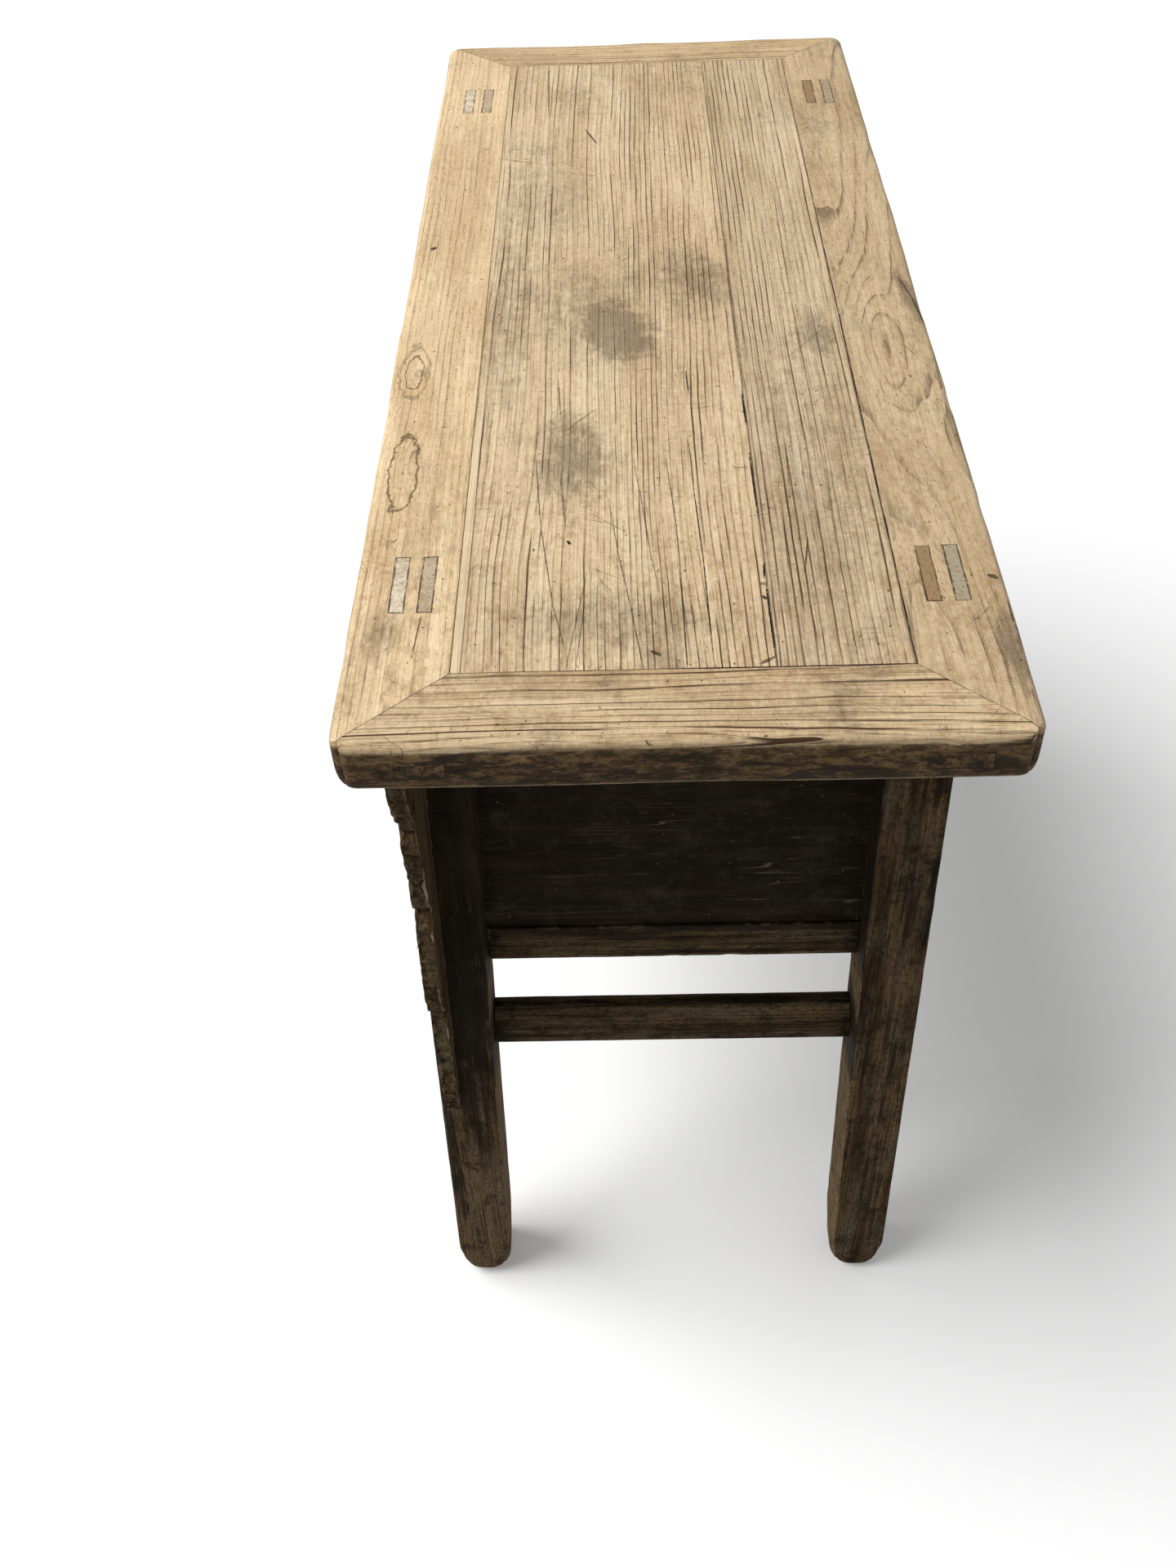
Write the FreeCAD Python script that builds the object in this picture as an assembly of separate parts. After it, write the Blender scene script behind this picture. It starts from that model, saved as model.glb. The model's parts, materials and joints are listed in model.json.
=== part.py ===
import FreeCAD, Part
import os

# Altar table with two drawers over a closed store, in millimetres.
# X runs along the length, Y from front to back, Z up from the floor.

# Overall sizes
top_length = 1074.0
top_depth = 412.0
table_height = 854.0

# Top frame and floating boards
top_thickness = 39.5
long_member_width = 67.0
end_member_width = 61.0
top_edge_round = 5.0
top_edge_band = 19.0
top_edge_undercut = 6.0
top_corner_round = 11.0
board_thickness = 14.0
board_tongue_drop = 5.0
board_tongue_thickness = 6.0
board_tongue_length = 8.0
board_gap = 0.4
front_board_share = 0.705
through_tenon_width = 38.0
through_tenon_thickness = 12.0
through_tenon_rise = 11.5
batten_width = 40.0
batten_tenon_length = 12.0
batten_tenon_thickness = 12.0

# Legs
leg_length = 57.0
leg_depth = 49.0
leg_centre_from_end = 148.5
leg_inset = 17.5
leg_slope_share = 0.026
leg_edge_round = 3.0
foot_round = 20.0
leg_tenon_width = 9.0
leg_outer_tenon_inset = 29.5
leg_inner_tenon_inset = 47.5

# Rails, panels and stretchers of the case
rail_thickness = 26.0
rail_inset = 4.0
rail_tenon_length = 16.0
rail_tenon_thickness = 10.0
rail_tenon_shoulder = 4.0
end_rail_recess = 28.0
top_rail_height = 27.5
middle_rail_height = 26.0
lower_rail_height = 38.0
drawer_opening_height = 130.0
store_height = 120.0
panel_thickness = 10.0
panel_setback = 3.0
panel_groove_depth = 6.0
stretcher_thickness = 25.0
stretcher_height = 46.0
stretcher_drop = 75.0
stretcher_round = 11.0
divider_width = 36.0
divider_tenon_length = 8.0
bottom_board_thickness = 10.0
bottom_board_rise = 12.0

# Spandrels and apron
carving_thickness = 13.0
carving_inset = 5.0
carving_tongue_thickness = 7.0
carving_tongue_length = 6.0
spandrel_width = 88.0
spandrel_height = 510.5
apron_height = 46.0
spandrel_curve_shares = (
    ((1.0, 0.0), (0.98, 0.055), (0.91, 0.105), (0.77, 0.155), (0.65, 0.18)),
    ((0.65, 0.18), (0.665, 0.205), (0.62, 0.26), (0.53, 0.317)),
    ((0.53, 0.317), (0.54, 0.34), (0.50, 0.375), (0.42, 0.396)),
    ((0.42, 0.396), (0.48, 0.455), (0.48, 0.55), (0.42, 0.63), (0.29, 0.662)),
    ((0.29, 0.662), (0.27, 0.745), (0.22, 0.84), (0.14, 0.94), (0.04, 1.0)),
)
apron_curve_shares = (
    ((1.0, 1.0), (0.955, 0.97), (0.925, 0.82), (0.91, 0.64)),
    ((0.91, 0.64), (0.875, 0.68), (0.82, 0.62), (0.78, 0.46)),
    ((0.78, 0.46), (0.74, 0.50), (0.68, 0.48), (0.60, 0.40)),
)

# Drawers
drawer_gap = 1.0
drawer_front_thickness = 20.0
drawer_side_thickness = 11.0
drawer_side_height = 100.0
drawer_back_thickness = 10.0
drawer_back_setback = 8.0
drawer_bottom_thickness = 8.0
drawer_bottom_rise = 8.0
drawer_groove_depth = 5.0
drawer_housing_depth = 8.0
drawer_rear_space = 16.0
runner_width = 24.0
runner_height = 18.0
runner_tenon_length = 6.0
guide_height = 16.0
guide_gap = 1.0

# Pulls
plate_width = 84.0
plate_height = 40.0
plate_thickness = 2.0
plate_curve_shares = (
    ((0.0, 1.0), (0.16, 0.96), (0.28, 0.80)),
    ((0.28, 0.80), (0.50, 0.94), (0.72, 0.70)),
    ((0.72, 0.70), (0.90, 0.62), (1.0, 0.0)),
)
post_spacing = 48.0
post_radius = 3.5
post_eye_radius = 5.0
post_eye_width = 9.0
post_projection = 12.0
shank_radius = 2.5
shank_length = 15.0
bail_radius = 2.0
bail_hole_clearance = 0.08
bail_pin_overhang = 1.5
bail_arm_gap = 4.0
bail_shoulder_round = 4.0
bail_drop = 34.0
bail_lower_round = 14.0
pull_height_share = 0.62

# Share of a radius reached along each axis halfway round a quarter turn
diagonal_share = 0.5 ** 0.5
# Least share of its length that an edge keeps along a direction it is said to follow
following_share = 0.97

# Levels, from the floor
underside = table_height - top_thickness
opening_top = underside - top_rail_height
opening_bottom = opening_top - drawer_opening_height
store_top = opening_bottom - middle_rail_height
lower_rail_top = store_top - store_height
lower_rail_bottom = lower_rail_top - lower_rail_height
stretcher_top = lower_rail_bottom - stretcher_drop
stretcher_bottom = stretcher_top - stretcher_height
board_underside = table_height - board_thickness

# Stations along the length
half_length = top_length / 2
half_depth = top_depth / 2
leg_centre_x = half_length - leg_centre_from_end
leg_outer_x = leg_centre_x + leg_length / 2
leg_inner_x = leg_centre_x - leg_length / 2
end_rail_outer_x = leg_outer_x - end_rail_recess
end_rail_inner_x = end_rail_outer_x - rail_thickness

# Insets behind the leaning front face of the legs
rail_back = rail_inset + rail_thickness
rail_middle = rail_inset + rail_thickness / 2
rail_core = (rail_middle - rail_tenon_thickness / 2, rail_middle + rail_tenon_thickness / 2)
carving_face = (carving_inset, carving_inset + carving_thickness)
carving_middle = carving_inset + carving_thickness / 2
carving_core = (carving_middle - carving_tongue_thickness / 2, carving_middle + carving_tongue_thickness / 2)


def point(x, y, z):
    return FreeCAD.Vector(x, y, z)


def box(x_range, y_range, z_range):
    size = [high - low for low, high in (x_range, y_range, z_range)]
    return Part.makeBox(*size, point(x_range[0], y_range[0], z_range[0]))


def prism(corners, direction):
    outline = Part.makePolygon(corners + corners[:1])
    return Part.Face(outline).extrude(direction)


def side_prism(corners, x_low, x_high):
    """A solid from (y, z) corners, running along the length."""
    return prism([point(x_low, y, z) for y, z in corners], point(x_high - x_low, 0, 0))


def plan_prism(corners):
    """A solid from (x, y) corners, through the whole top."""
    return prism([point(x, y, underside) for x, y in corners], point(0, 0, top_thickness))


def joined(solids):
    whole = solids[0]
    for solid in solids[1:]:
        whole = whole.fuse(solid)
    return whole.removeSplitter()


def cut_by(solid, tools):
    for tool in tools:
        solid = solid.cut(tool)
    return solid


def to_left(solid):
    return solid.mirror(point(0, 0, 0), point(1, 0, 0))


def to_back(solid):
    return solid.mirror(point(0, 0, 0), point(0, 1, 0))


def straight_edges(solid, direction):
    """The straight edges that run along the direction given."""
    found = []
    for edge in solid.Edges:
        if len(edge.Vertexes) == 2 and edge.Curve.TypeId == "Part::GeomLine":
            if abs(edge.Curve.Direction.dot(direction)) > following_share:
                found.append(edge)
    return found


def front_y(z, inset):
    """Depth position, at a height, of a plane that leans with the front of the legs."""
    return inset - (half_depth - leg_inset) - leg_slope_share * (underside - z)


def leaning_bar(x_range, z_range, inset_range):
    """A bar whose front and back faces lean with the legs."""
    z_low, z_high = z_range
    inset_low, inset_high = inset_range
    corners = [
        (front_y(z_low, inset_low), z_low),
        (front_y(z_low, inset_high), z_low),
        (front_y(z_high, inset_high), z_high),
        (front_y(z_high, inset_low), z_high),
    ]
    return side_prism(corners, *x_range)


def end_bar(x_range, z_range, reach):
    """A bar between a front and a back leg, that enters them by the reach."""
    z_low, z_high = z_range
    low_y = front_y(z_low, leg_depth) - reach
    high_y = front_y(z_high, leg_depth) - reach
    return side_prism([(low_y, z_low), (-low_y, z_low), (-high_y, z_high), (high_y, z_high)], *x_range)


def curve_edges(segments, place):
    """One curve per segment of shares, each placed by the function given."""
    edges = []
    for segment in segments:
        curve = Part.BSplineCurve()
        curve.interpolate([place(*share) for share in segment])
        edges.append(curve.toShape())
    return edges


def outline_prism(edges, corners, direction):
    """A solid from curves in a row, closed by straight lines through the corners."""
    first, last = edges[0], edges[-1]
    loop = [last.valueAt(last.LastParameter)] + corners + [first.valueAt(first.FirstParameter)]
    lines = [Part.makeLine(start, end) for start, end in zip(loop, loop[1:])]
    return Part.Face(Part.Wire(edges + lines)).extrude(direction)


# Slab of the top, cut back all round to its moulded edge
def edge_waste(half_width, place, direction):
    """What lies outside the moulded edge along one side of the slab."""
    band_low = table_height - top_edge_round - top_edge_band
    top_centre = table_height - top_edge_round
    shoulder = half_width - top_edge_round
    lip = half_width - top_edge_undercut
    bend = top_edge_round * diagonal_share
    over = Part.Arc(
        place(shoulder, table_height),
        place(shoulder + bend, top_centre + bend),
        place(half_width, top_centre),
    ).toShape()
    band = Part.makeLine(place(half_width, top_centre), place(half_width, band_low))
    under = Part.BezierCurve()
    under.setPoles([place(half_width, band_low), place(half_width, underside), place(lip, underside)])
    outer = half_width + top_thickness
    above = table_height + top_thickness
    below = underside - top_thickness
    corners = [place(lip, below), place(outer, below), place(outer, above), place(shoulder, above)]
    return outline_prism([over, band, under.toShape()], corners, direction)


def top_slab():
    reach_x = half_length + top_thickness
    reach_y = half_depth + top_thickness
    front = edge_waste(half_depth, lambda u, z: point(-reach_x, -u, z), point(2 * reach_x, 0, 0))
    right = edge_waste(half_length, lambda u, z: point(u, -reach_y, z), point(0, 2 * reach_y, 0))
    block = box((-half_length, half_length), (-half_depth, half_depth), (underside, table_height))
    block = block.makeFillet(top_corner_round, straight_edges(block, point(0, 0, 1)))
    return cut_by(block, [front, to_back(front), right, to_left(right)])


# Floating boards and battens
def floating_board(y_range, tongue_range):
    reach_x = half_length - end_member_width - board_gap
    tongue_x = reach_x + board_tongue_length
    tongue_top = table_height - board_tongue_drop
    body = box((-reach_x, reach_x), y_range, (board_underside, table_height))
    tongue = box((-tongue_x, tongue_x), tongue_range, (tongue_top - board_tongue_thickness, tongue_top))
    return joined([body, tongue])


def make_boards():
    front = long_member_width - half_depth + board_gap
    back = -front
    seam = front + front_board_share * (back - front)
    front_board = floating_board((front, seam), (front - board_tongue_length, seam))
    tongue_start = seam - board_tongue_length / 2
    back_board = floating_board((seam, back), (tongue_start, back + board_tongue_length))
    return front_board.cut(back_board), back_board


def make_batten(x_centre):
    reach_y = half_depth - long_member_width
    tenon_y = reach_y + batten_tenon_length
    x_range = (x_centre - batten_width / 2, x_centre + batten_width / 2)
    tenon_low = underside + (board_underside - underside - batten_tenon_thickness) / 2
    body = box(x_range, (-reach_y, reach_y), (underside, board_underside))
    tenon = box(x_range, (-tenon_y, tenon_y), (tenon_low, tenon_low + batten_tenon_thickness))
    return joined([body, tenon])


# Members of the top frame, for the front and the right hand side
def make_front_member(slab, housed):
    inner_x = half_length - end_member_width
    inner_y = long_member_width - half_depth
    blank = slab.common(plan_prism([
        (-half_length, -half_depth),
        (half_length, -half_depth),
        (inner_x, inner_y),
        (-inner_x, inner_y),
    ]))
    low = underside + through_tenon_rise
    tenon = box((-half_length, half_length), (inner_y - through_tenon_width, inner_y),
                (low, low + through_tenon_thickness)).common(slab)
    return cut_by(joined([blank, tenon]), housed)


def make_right_member(slab, housed):
    inner_x = half_length - end_member_width
    inner_y = half_depth - long_member_width
    blank = slab.common(plan_prism([
        (half_length, -half_depth),
        (half_length, half_depth),
        (inner_x, inner_y),
        (inner_x, -inner_y),
    ]))
    return cut_by(blank, housed)


# Front right leg, with its twin tenons through the top
def make_leg():
    leg = leaning_bar((leg_inner_x, leg_outer_x), (0, underside), (0, leg_depth))
    leg = leg.makeFillet(leg_edge_round, straight_edges(leg, point(0, 0, 1)))
    sole = [edge for edge in leg.Edges if edge.BoundBox.ZMax < leg_edge_round]
    leg = leg.makeFillet(foot_round, sole)
    tenons = []
    for inset in (leg_outer_tenon_inset, leg_inner_tenon_inset):
        middle = inset - half_depth
        y_range = (middle - leg_tenon_width / 2, middle + leg_tenon_width / 2)
        tenons.append(box((leg_inner_x, leg_outer_x), y_range, (underside, table_height)))
    return joined([leg] + tenons)


# Rails and panels of the case
def make_end_rail(z_range):
    middle = (end_rail_inner_x + end_rail_outer_x) / 2
    tenon_x = (middle - rail_tenon_thickness / 2, middle + rail_tenon_thickness / 2)
    tenon_z = (z_range[0] + rail_tenon_shoulder, z_range[1] - rail_tenon_shoulder)
    body = end_bar((end_rail_inner_x, end_rail_outer_x), z_range, 0)
    return joined([body, end_bar(tenon_x, tenon_z, rail_tenon_length)])


def make_end_stretcher():
    outer_x = end_rail_outer_x
    inner_x = outer_x - stretcher_thickness
    middle = (inner_x + outer_x) / 2
    body = end_bar((inner_x, outer_x), (stretcher_bottom, stretcher_top), 0)
    body = body.makeFillet(stretcher_round, straight_edges(body, point(0, 1, 0)))
    tenon_x = (middle - rail_tenon_thickness / 2, middle + rail_tenon_thickness / 2)
    tenon_z = (stretcher_bottom + stretcher_round, stretcher_top - stretcher_round)
    return joined([body, end_bar(tenon_x, tenon_z, rail_tenon_length)])


def make_end_panel():
    outer_x = end_rail_outer_x - panel_setback
    z_range = (lower_rail_top - panel_groove_depth, opening_top + panel_groove_depth)
    return end_bar((outer_x - panel_thickness, outer_x), z_range, panel_groove_depth)


def make_front_rail(z_range):
    tenon_z = (z_range[0] + rail_tenon_shoulder, z_range[1] - rail_tenon_shoulder)
    tenon_x = leg_inner_x + rail_tenon_length
    body = leaning_bar((-leg_inner_x, leg_inner_x), z_range, (rail_inset, rail_back))
    return joined([body, leaning_bar((-tenon_x, tenon_x), tenon_z, rail_core)])


def make_front_panel(z_low, z_high):
    """A panel between two rails, with its edges in grooves all round."""
    reach_x = leg_inner_x + panel_groove_depth
    outer = rail_inset + panel_setback
    z_range = (z_low - panel_groove_depth, z_high + panel_groove_depth)
    return leaning_bar((-reach_x, reach_x), z_range, (outer, outer + panel_thickness))


def make_divider():
    half_width = divider_width / 2
    half_tenon = half_width - rail_tenon_shoulder
    tenon_z = (opening_bottom - divider_tenon_length, opening_top + divider_tenon_length)
    body = leaning_bar((-half_width, half_width), (opening_bottom, opening_top), (rail_inset, rail_back))
    return joined([body, leaning_bar((-half_tenon, half_tenon), tenon_z, rail_core)])


def make_bottom_board(legs):
    z_low = lower_rail_bottom + bottom_board_rise
    reach_x = end_rail_inner_x + panel_groove_depth
    reach_y = panel_groove_depth - front_y(z_low, rail_back)
    board = box((-reach_x, reach_x), (-reach_y, reach_y), (z_low, z_low + bottom_board_thickness))
    return cut_by(board, legs)


# Carved pieces, cut from a leaning board by an outline
def make_spandrel():
    low_z = underside - spandrel_height
    z_range = (low_z, underside)

    def place(out_share, drop_share):
        x = leg_outer_x + out_share * spandrel_width
        return point(x, -half_depth, underside - drop_share * spandrel_height)

    edges = curve_edges(spandrel_curve_shares, place)
    blank = outline_prism(edges, [place(0, 1), place(0, 0)], point(0, half_depth, 0))
    board = blank.common(leaning_bar((leg_outer_x, leg_outer_x + spandrel_width), z_range, carving_face))
    tongue = leaning_bar((leg_outer_x - carving_tongue_length, leg_outer_x), z_range, carving_core)
    return joined([board, tongue])


def make_apron():
    low_z = lower_rail_bottom - apron_height
    z_range = (low_z, lower_rail_bottom)

    def place(x_share, drop_share):
        return point(x_share * leg_inner_x, -half_depth, lower_rail_bottom - drop_share * apron_height)

    edges = curve_edges(apron_curve_shares, place)
    middle_drop = apron_curve_shares[-1][-1][1]
    blank = outline_prism(edges, [place(0, middle_drop), place(0, 0), place(1, 0)], point(0, half_depth, 0))
    half = blank.common(leaning_bar((0, leg_inner_x), z_range, carving_face))
    tongue_z = (lower_rail_bottom, lower_rail_bottom + carving_tongue_length)
    upper = leaning_bar((0, leg_inner_x), tongue_z, carving_core)
    side = leaning_bar((leg_inner_x, leg_inner_x + carving_tongue_length), z_range, carving_core)
    half = joined([half, upper, side])
    return joined([half, to_left(half)])


# Runners and the guide strip between the drawers
def cross_bar(x_range, z_range):
    """A bar from the back face of a front rail to the same rail at the back."""
    z_low, z_high = z_range
    low_y = front_y(z_low, rail_back)
    high_y = front_y(z_high, rail_back)
    return side_prism([(low_y, z_low), (-low_y, z_low), (-high_y, z_high), (high_y, z_high)], *x_range)


def make_runner(x_range):
    z_range = (opening_bottom - runner_height, opening_bottom)
    tenon_z = (z_range[0] + rail_tenon_shoulder, z_range[1] - rail_tenon_shoulder)
    reach_y = runner_tenon_length - front_y(z_range[0], rail_back)
    return joined([cross_bar(x_range, z_range), box(x_range, (-reach_y, reach_y), tenon_z)])


def make_guide():
    half_width = divider_width / 2 - guide_gap
    return cross_bar((-half_width, half_width), (opening_bottom, opening_bottom + guide_height))


# Right hand drawer, and where its pull sits
drawer_x = (divider_width / 2 + drawer_gap, leg_inner_x - drawer_gap)
drawer_rear_y = -front_y(opening_top, rail_back) - drawer_rear_space
pull_x = (drawer_x[0] + drawer_x[1]) / 2
pull_z = opening_bottom + pull_height_share * drawer_opening_height
bail_y = front_y(pull_z, rail_inset - plate_thickness) - post_projection


def drawer_board(x_range, z_range, front_inset):
    """A board from a plane behind the drawer's face to the rear of the drawer."""
    z_low, z_high = z_range
    return side_prism([
        (front_y(z_low, front_inset), z_low),
        (drawer_rear_y, z_low),
        (drawer_rear_y, z_high),
        (front_y(z_high, front_inset), z_high),
    ], *x_range)


def make_drawer():
    inner_x, outer_x = drawer_x
    face_back = rail_inset + drawer_front_thickness
    side_z = (opening_bottom, opening_bottom + drawer_side_height)
    front_z = (opening_bottom + drawer_gap, opening_top - drawer_gap)
    housing = face_back - drawer_housing_depth
    inner_side = drawer_board((inner_x, inner_x + drawer_side_thickness), side_z, housing)
    outer_side = drawer_board((outer_x - drawer_side_thickness, outer_x), side_z, housing)
    lap = drawer_side_thickness - drawer_groove_depth
    between_x = (inner_x + lap, outer_x - lap)
    floor_low = opening_bottom + drawer_bottom_rise
    floor_top = floor_low + drawer_bottom_thickness
    bottom = drawer_board(between_x, (floor_low, floor_top), face_back - drawer_groove_depth)
    back_y = drawer_rear_y - drawer_back_setback
    back = box(between_x, (back_y - drawer_back_thickness, back_y), (floor_top, side_z[1]))
    front = leaning_bar(drawer_x, front_z, (rail_inset, face_back))
    return {
        "front": cut_by(front, [inner_side, outer_side, bottom]),
        "inner_side": cut_by(inner_side, [bottom, back]),
        "outer_side": cut_by(outer_side, [bottom, back]),
        "back": back,
        "bottom": bottom,
    }


# Pull of the right hand drawer
def make_plate():
    half_width = plate_width / 2
    half_height = plate_height / 2

    def place(x_share, z_share):
        return point(pull_x + x_share * half_width, -half_depth, pull_z + z_share * half_height)

    edges = curve_edges(plate_curve_shares, place)
    quarter = outline_prism(edges, [place(0, 0)], point(0, half_depth, 0))
    centre = place(0, 0)
    half = joined([quarter, quarter.mirror(centre, point(1, 0, 0))])
    blank = joined([half, half.mirror(centre, point(0, 0, 1))])
    x_range = (pull_x - half_width, pull_x + half_width)
    z_range = (pull_z - half_height, pull_z + half_height)
    return blank.common(leaning_bar(x_range, z_range, (rail_inset - plate_thickness, rail_inset)))


def make_post(x):
    outward = point(0, -1, 0)
    plate_y = front_y(pull_z, rail_inset - plate_thickness)
    neck = Part.makeCylinder(post_radius, post_projection + plate_thickness,
                             point(x, plate_y + plate_thickness, pull_z), outward)
    backing = leaning_bar((x - post_radius, x + post_radius), (pull_z - post_radius, pull_z + post_radius),
                          (rail_inset - plate_thickness, rail_back))
    shank = Part.makeCylinder(shank_radius, shank_length, point(x, plate_y + shank_length, pull_z), outward)
    eye_start = point(x - post_eye_width / 2, bail_y, pull_z)
    eye = Part.makeCylinder(post_eye_radius, post_eye_width, eye_start, point(1, 0, 0))
    hole = Part.makeCylinder(bail_radius + bail_hole_clearance, post_eye_width, eye_start, point(1, 0, 0))
    return joined([neck.cut(backing), shank, eye]).cut(hole)


def bail_line():
    """Half of the bail's centre line, from the pin in the post to the middle of the grip."""
    pin_x = (post_spacing - post_eye_width) / 2 - bail_pin_overhang
    arm_x = (post_spacing + post_eye_width) / 2 + bail_arm_gap
    turn = 1 - diagonal_share
    upper = bail_shoulder_round
    lower = bail_lower_round

    def place(x, drop):
        return point(pull_x + x, bail_y, pull_z - drop)

    shoulder = Part.Arc(
        place(arm_x - upper, 0),
        place(arm_x - turn * upper, turn * upper),
        place(arm_x, upper),
    ).toShape()
    bend = Part.Arc(
        place(arm_x, bail_drop - lower),
        place(arm_x - turn * lower, bail_drop - turn * lower),
        place(arm_x - lower, bail_drop),
    ).toShape()
    pin = Part.makeLine(place(pin_x, 0), place(arm_x - upper, 0))
    arm = Part.makeLine(place(arm_x, upper), place(arm_x, bail_drop - lower))
    grip = Part.makeLine(place(arm_x - lower, bail_drop), place(0, bail_drop))
    return Part.Wire([pin, shoulder, arm, bend, grip])


def make_bail():
    centre_line = bail_line()
    start = centre_line.Vertexes[0].Point
    section = Part.Wire(Part.Circle(start, point(1, 0, 0), bail_radius).toShape())
    half = centre_line.makePipeShell([section], True, False)
    return joined([half, half.mirror(point(pull_x, 0, 0), point(1, 0, 0))])


# Put the pieces together
slab = top_slab()
front_board, back_board = make_boards()
battens = {
    "left": make_batten(-leg_centre_x),
    "middle": make_batten(0),
    "right": make_batten(leg_centre_x),
}
leg = make_leg()
right_legs = [leg, to_back(leg)]
all_legs = right_legs + [to_left(solid) for solid in right_legs]
front_housed = [front_board, leg, to_left(leg)] + list(battens.values())
front_member = make_front_member(slab, front_housed)
back_member = to_back(front_member)
right_member = make_right_member(slab, [front_member, back_member, front_board, back_board])

end_top_rail = make_end_rail((opening_top, underside))
end_lower_rail = make_end_rail((lower_rail_bottom, lower_rail_top))
end_stretcher = make_end_stretcher()
end_panel = make_end_panel()

top_rail = make_front_rail((opening_top, underside))
middle_rail = make_front_rail((store_top, opening_bottom))
lower_rail = make_front_rail((lower_rail_bottom, lower_rail_top))
divider = make_divider()
front_panel = make_front_panel(lower_rail_top, store_top)
upper_panel = make_front_panel(opening_bottom, opening_top)
apron = make_apron()
spandrel = make_spandrel()

runners = {
    "left": make_runner((-leg_inner_x, runner_width - leg_inner_x)),
    "middle": make_runner((-divider_width / 2 - runner_width, divider_width / 2 + runner_width)),
    "right": make_runner((leg_inner_x - runner_width, leg_inner_x)),
}
bottom_board = make_bottom_board(all_legs)

end_pieces = [end_top_rail, end_lower_rail, end_stretcher, end_panel]
front_pieces = [top_rail, middle_rail, lower_rail, front_panel, apron, spandrel]
back_pieces = [to_back(solid) for solid in (top_rail, middle_rail, lower_rail, front_panel, upper_panel)]
front_leg = cut_by(leg, end_pieces + front_pieces)
back_leg = cut_by(to_back(leg), end_pieces + back_pieces)
crossing = list(runners.values())

pieces = {
    "top_front_member": front_member,
    "top_back_member": back_member,
    "top_front_board": front_board,
    "top_back_board": back_board,
    "front_top_rail": cut_by(top_rail, [divider]),
    "front_middle_rail": cut_by(middle_rail, [divider, front_panel] + crossing),
    "front_lower_rail": cut_by(lower_rail, [front_panel, bottom_board, apron]),
    "front_divider": divider,
    "front_panel": front_panel,
    "front_apron": apron,
    "back_top_rail": to_back(cut_by(top_rail, [upper_panel])),
    "back_middle_rail": to_back(cut_by(middle_rail, [upper_panel, front_panel] + crossing)),
    "back_lower_rail": to_back(cut_by(lower_rail, [front_panel, bottom_board])),
    "back_upper_panel": to_back(upper_panel),
    "back_lower_panel": to_back(front_panel),
    "bottom_board": bottom_board,
    "drawer_guide": make_guide(),
}
for side, batten in battens.items():
    pieces["top_batten_" + side] = batten
for side, runner in runners.items():
    pieces["drawer_runner_" + side] = runner

# Pieces made for the right hand end, and their mirror images
right_pieces = {
    "top_end_member": right_member,
    "leg_front": front_leg,
    "leg_back": back_leg,
    "end_top_rail": end_top_rail.cut(end_panel),
    "end_lower_rail": cut_by(end_lower_rail, [end_panel, bottom_board]),
    "end_stretcher": end_stretcher,
    "end_panel": end_panel,
    "spandrel": spandrel,
}
for name, solid in make_drawer().items():
    right_pieces["drawer_" + name] = solid
posts = {
    "pull_inner_post": make_post(pull_x - post_spacing / 2),
    "pull_outer_post": make_post(pull_x + post_spacing / 2),
}
right_pieces.update(posts)
right_pieces["pull_plate"] = cut_by(make_plate(), posts.values())
right_pieces["drawer_front"] = cut_by(right_pieces["drawer_front"], posts.values())
right_pieces["pull_bail"] = make_bail()
for name, solid in right_pieces.items():
    pieces[name + "_right"] = solid
    pieces[name + "_left"] = to_left(solid)

os.makedirs("parts", exist_ok=True)
for name, solid in pieces.items():
    solid.exportStep("parts/" + name + ".step")
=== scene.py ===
import json
import math

import bmesh
import bpy
import numpy as np
from mathutils import Matrix, Vector

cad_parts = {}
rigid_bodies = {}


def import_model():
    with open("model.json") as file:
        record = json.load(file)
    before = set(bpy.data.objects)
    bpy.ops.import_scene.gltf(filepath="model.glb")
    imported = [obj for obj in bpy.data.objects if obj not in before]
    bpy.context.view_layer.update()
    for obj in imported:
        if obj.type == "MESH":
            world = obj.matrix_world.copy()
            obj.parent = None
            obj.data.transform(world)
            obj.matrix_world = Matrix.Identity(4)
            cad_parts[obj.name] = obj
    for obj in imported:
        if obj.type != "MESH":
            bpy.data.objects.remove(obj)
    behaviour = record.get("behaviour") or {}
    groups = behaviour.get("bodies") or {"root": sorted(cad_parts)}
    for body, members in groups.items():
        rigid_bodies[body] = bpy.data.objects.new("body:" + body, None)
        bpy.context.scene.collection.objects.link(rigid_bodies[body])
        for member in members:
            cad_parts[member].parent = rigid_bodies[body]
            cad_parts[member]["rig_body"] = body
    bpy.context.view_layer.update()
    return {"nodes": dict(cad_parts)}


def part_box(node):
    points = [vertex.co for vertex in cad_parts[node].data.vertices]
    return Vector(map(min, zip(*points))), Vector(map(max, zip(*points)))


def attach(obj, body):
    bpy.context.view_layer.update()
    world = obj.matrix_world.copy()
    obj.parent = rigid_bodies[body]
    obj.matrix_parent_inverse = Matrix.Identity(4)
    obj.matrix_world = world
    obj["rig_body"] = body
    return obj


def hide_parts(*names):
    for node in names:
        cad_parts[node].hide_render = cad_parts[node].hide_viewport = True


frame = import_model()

# Altar table in metres: X along the length, Y from front to back, Z up from the floor.
MM = 0.001
# How far an edge turns at most to be shaded smooth, and at least to wear as an arris or to be eased
SMOOTH_BELOW, ARRIS_ABOVE, EASED_ABOVE = (math.radians(turn) for turn in (32, 12, 50))
# Where the cuts lie within a step, off the solids' own faces, and how near corners are welded
CUT_PHASE = 0.37
WELD = 0.08 * MM

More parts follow.
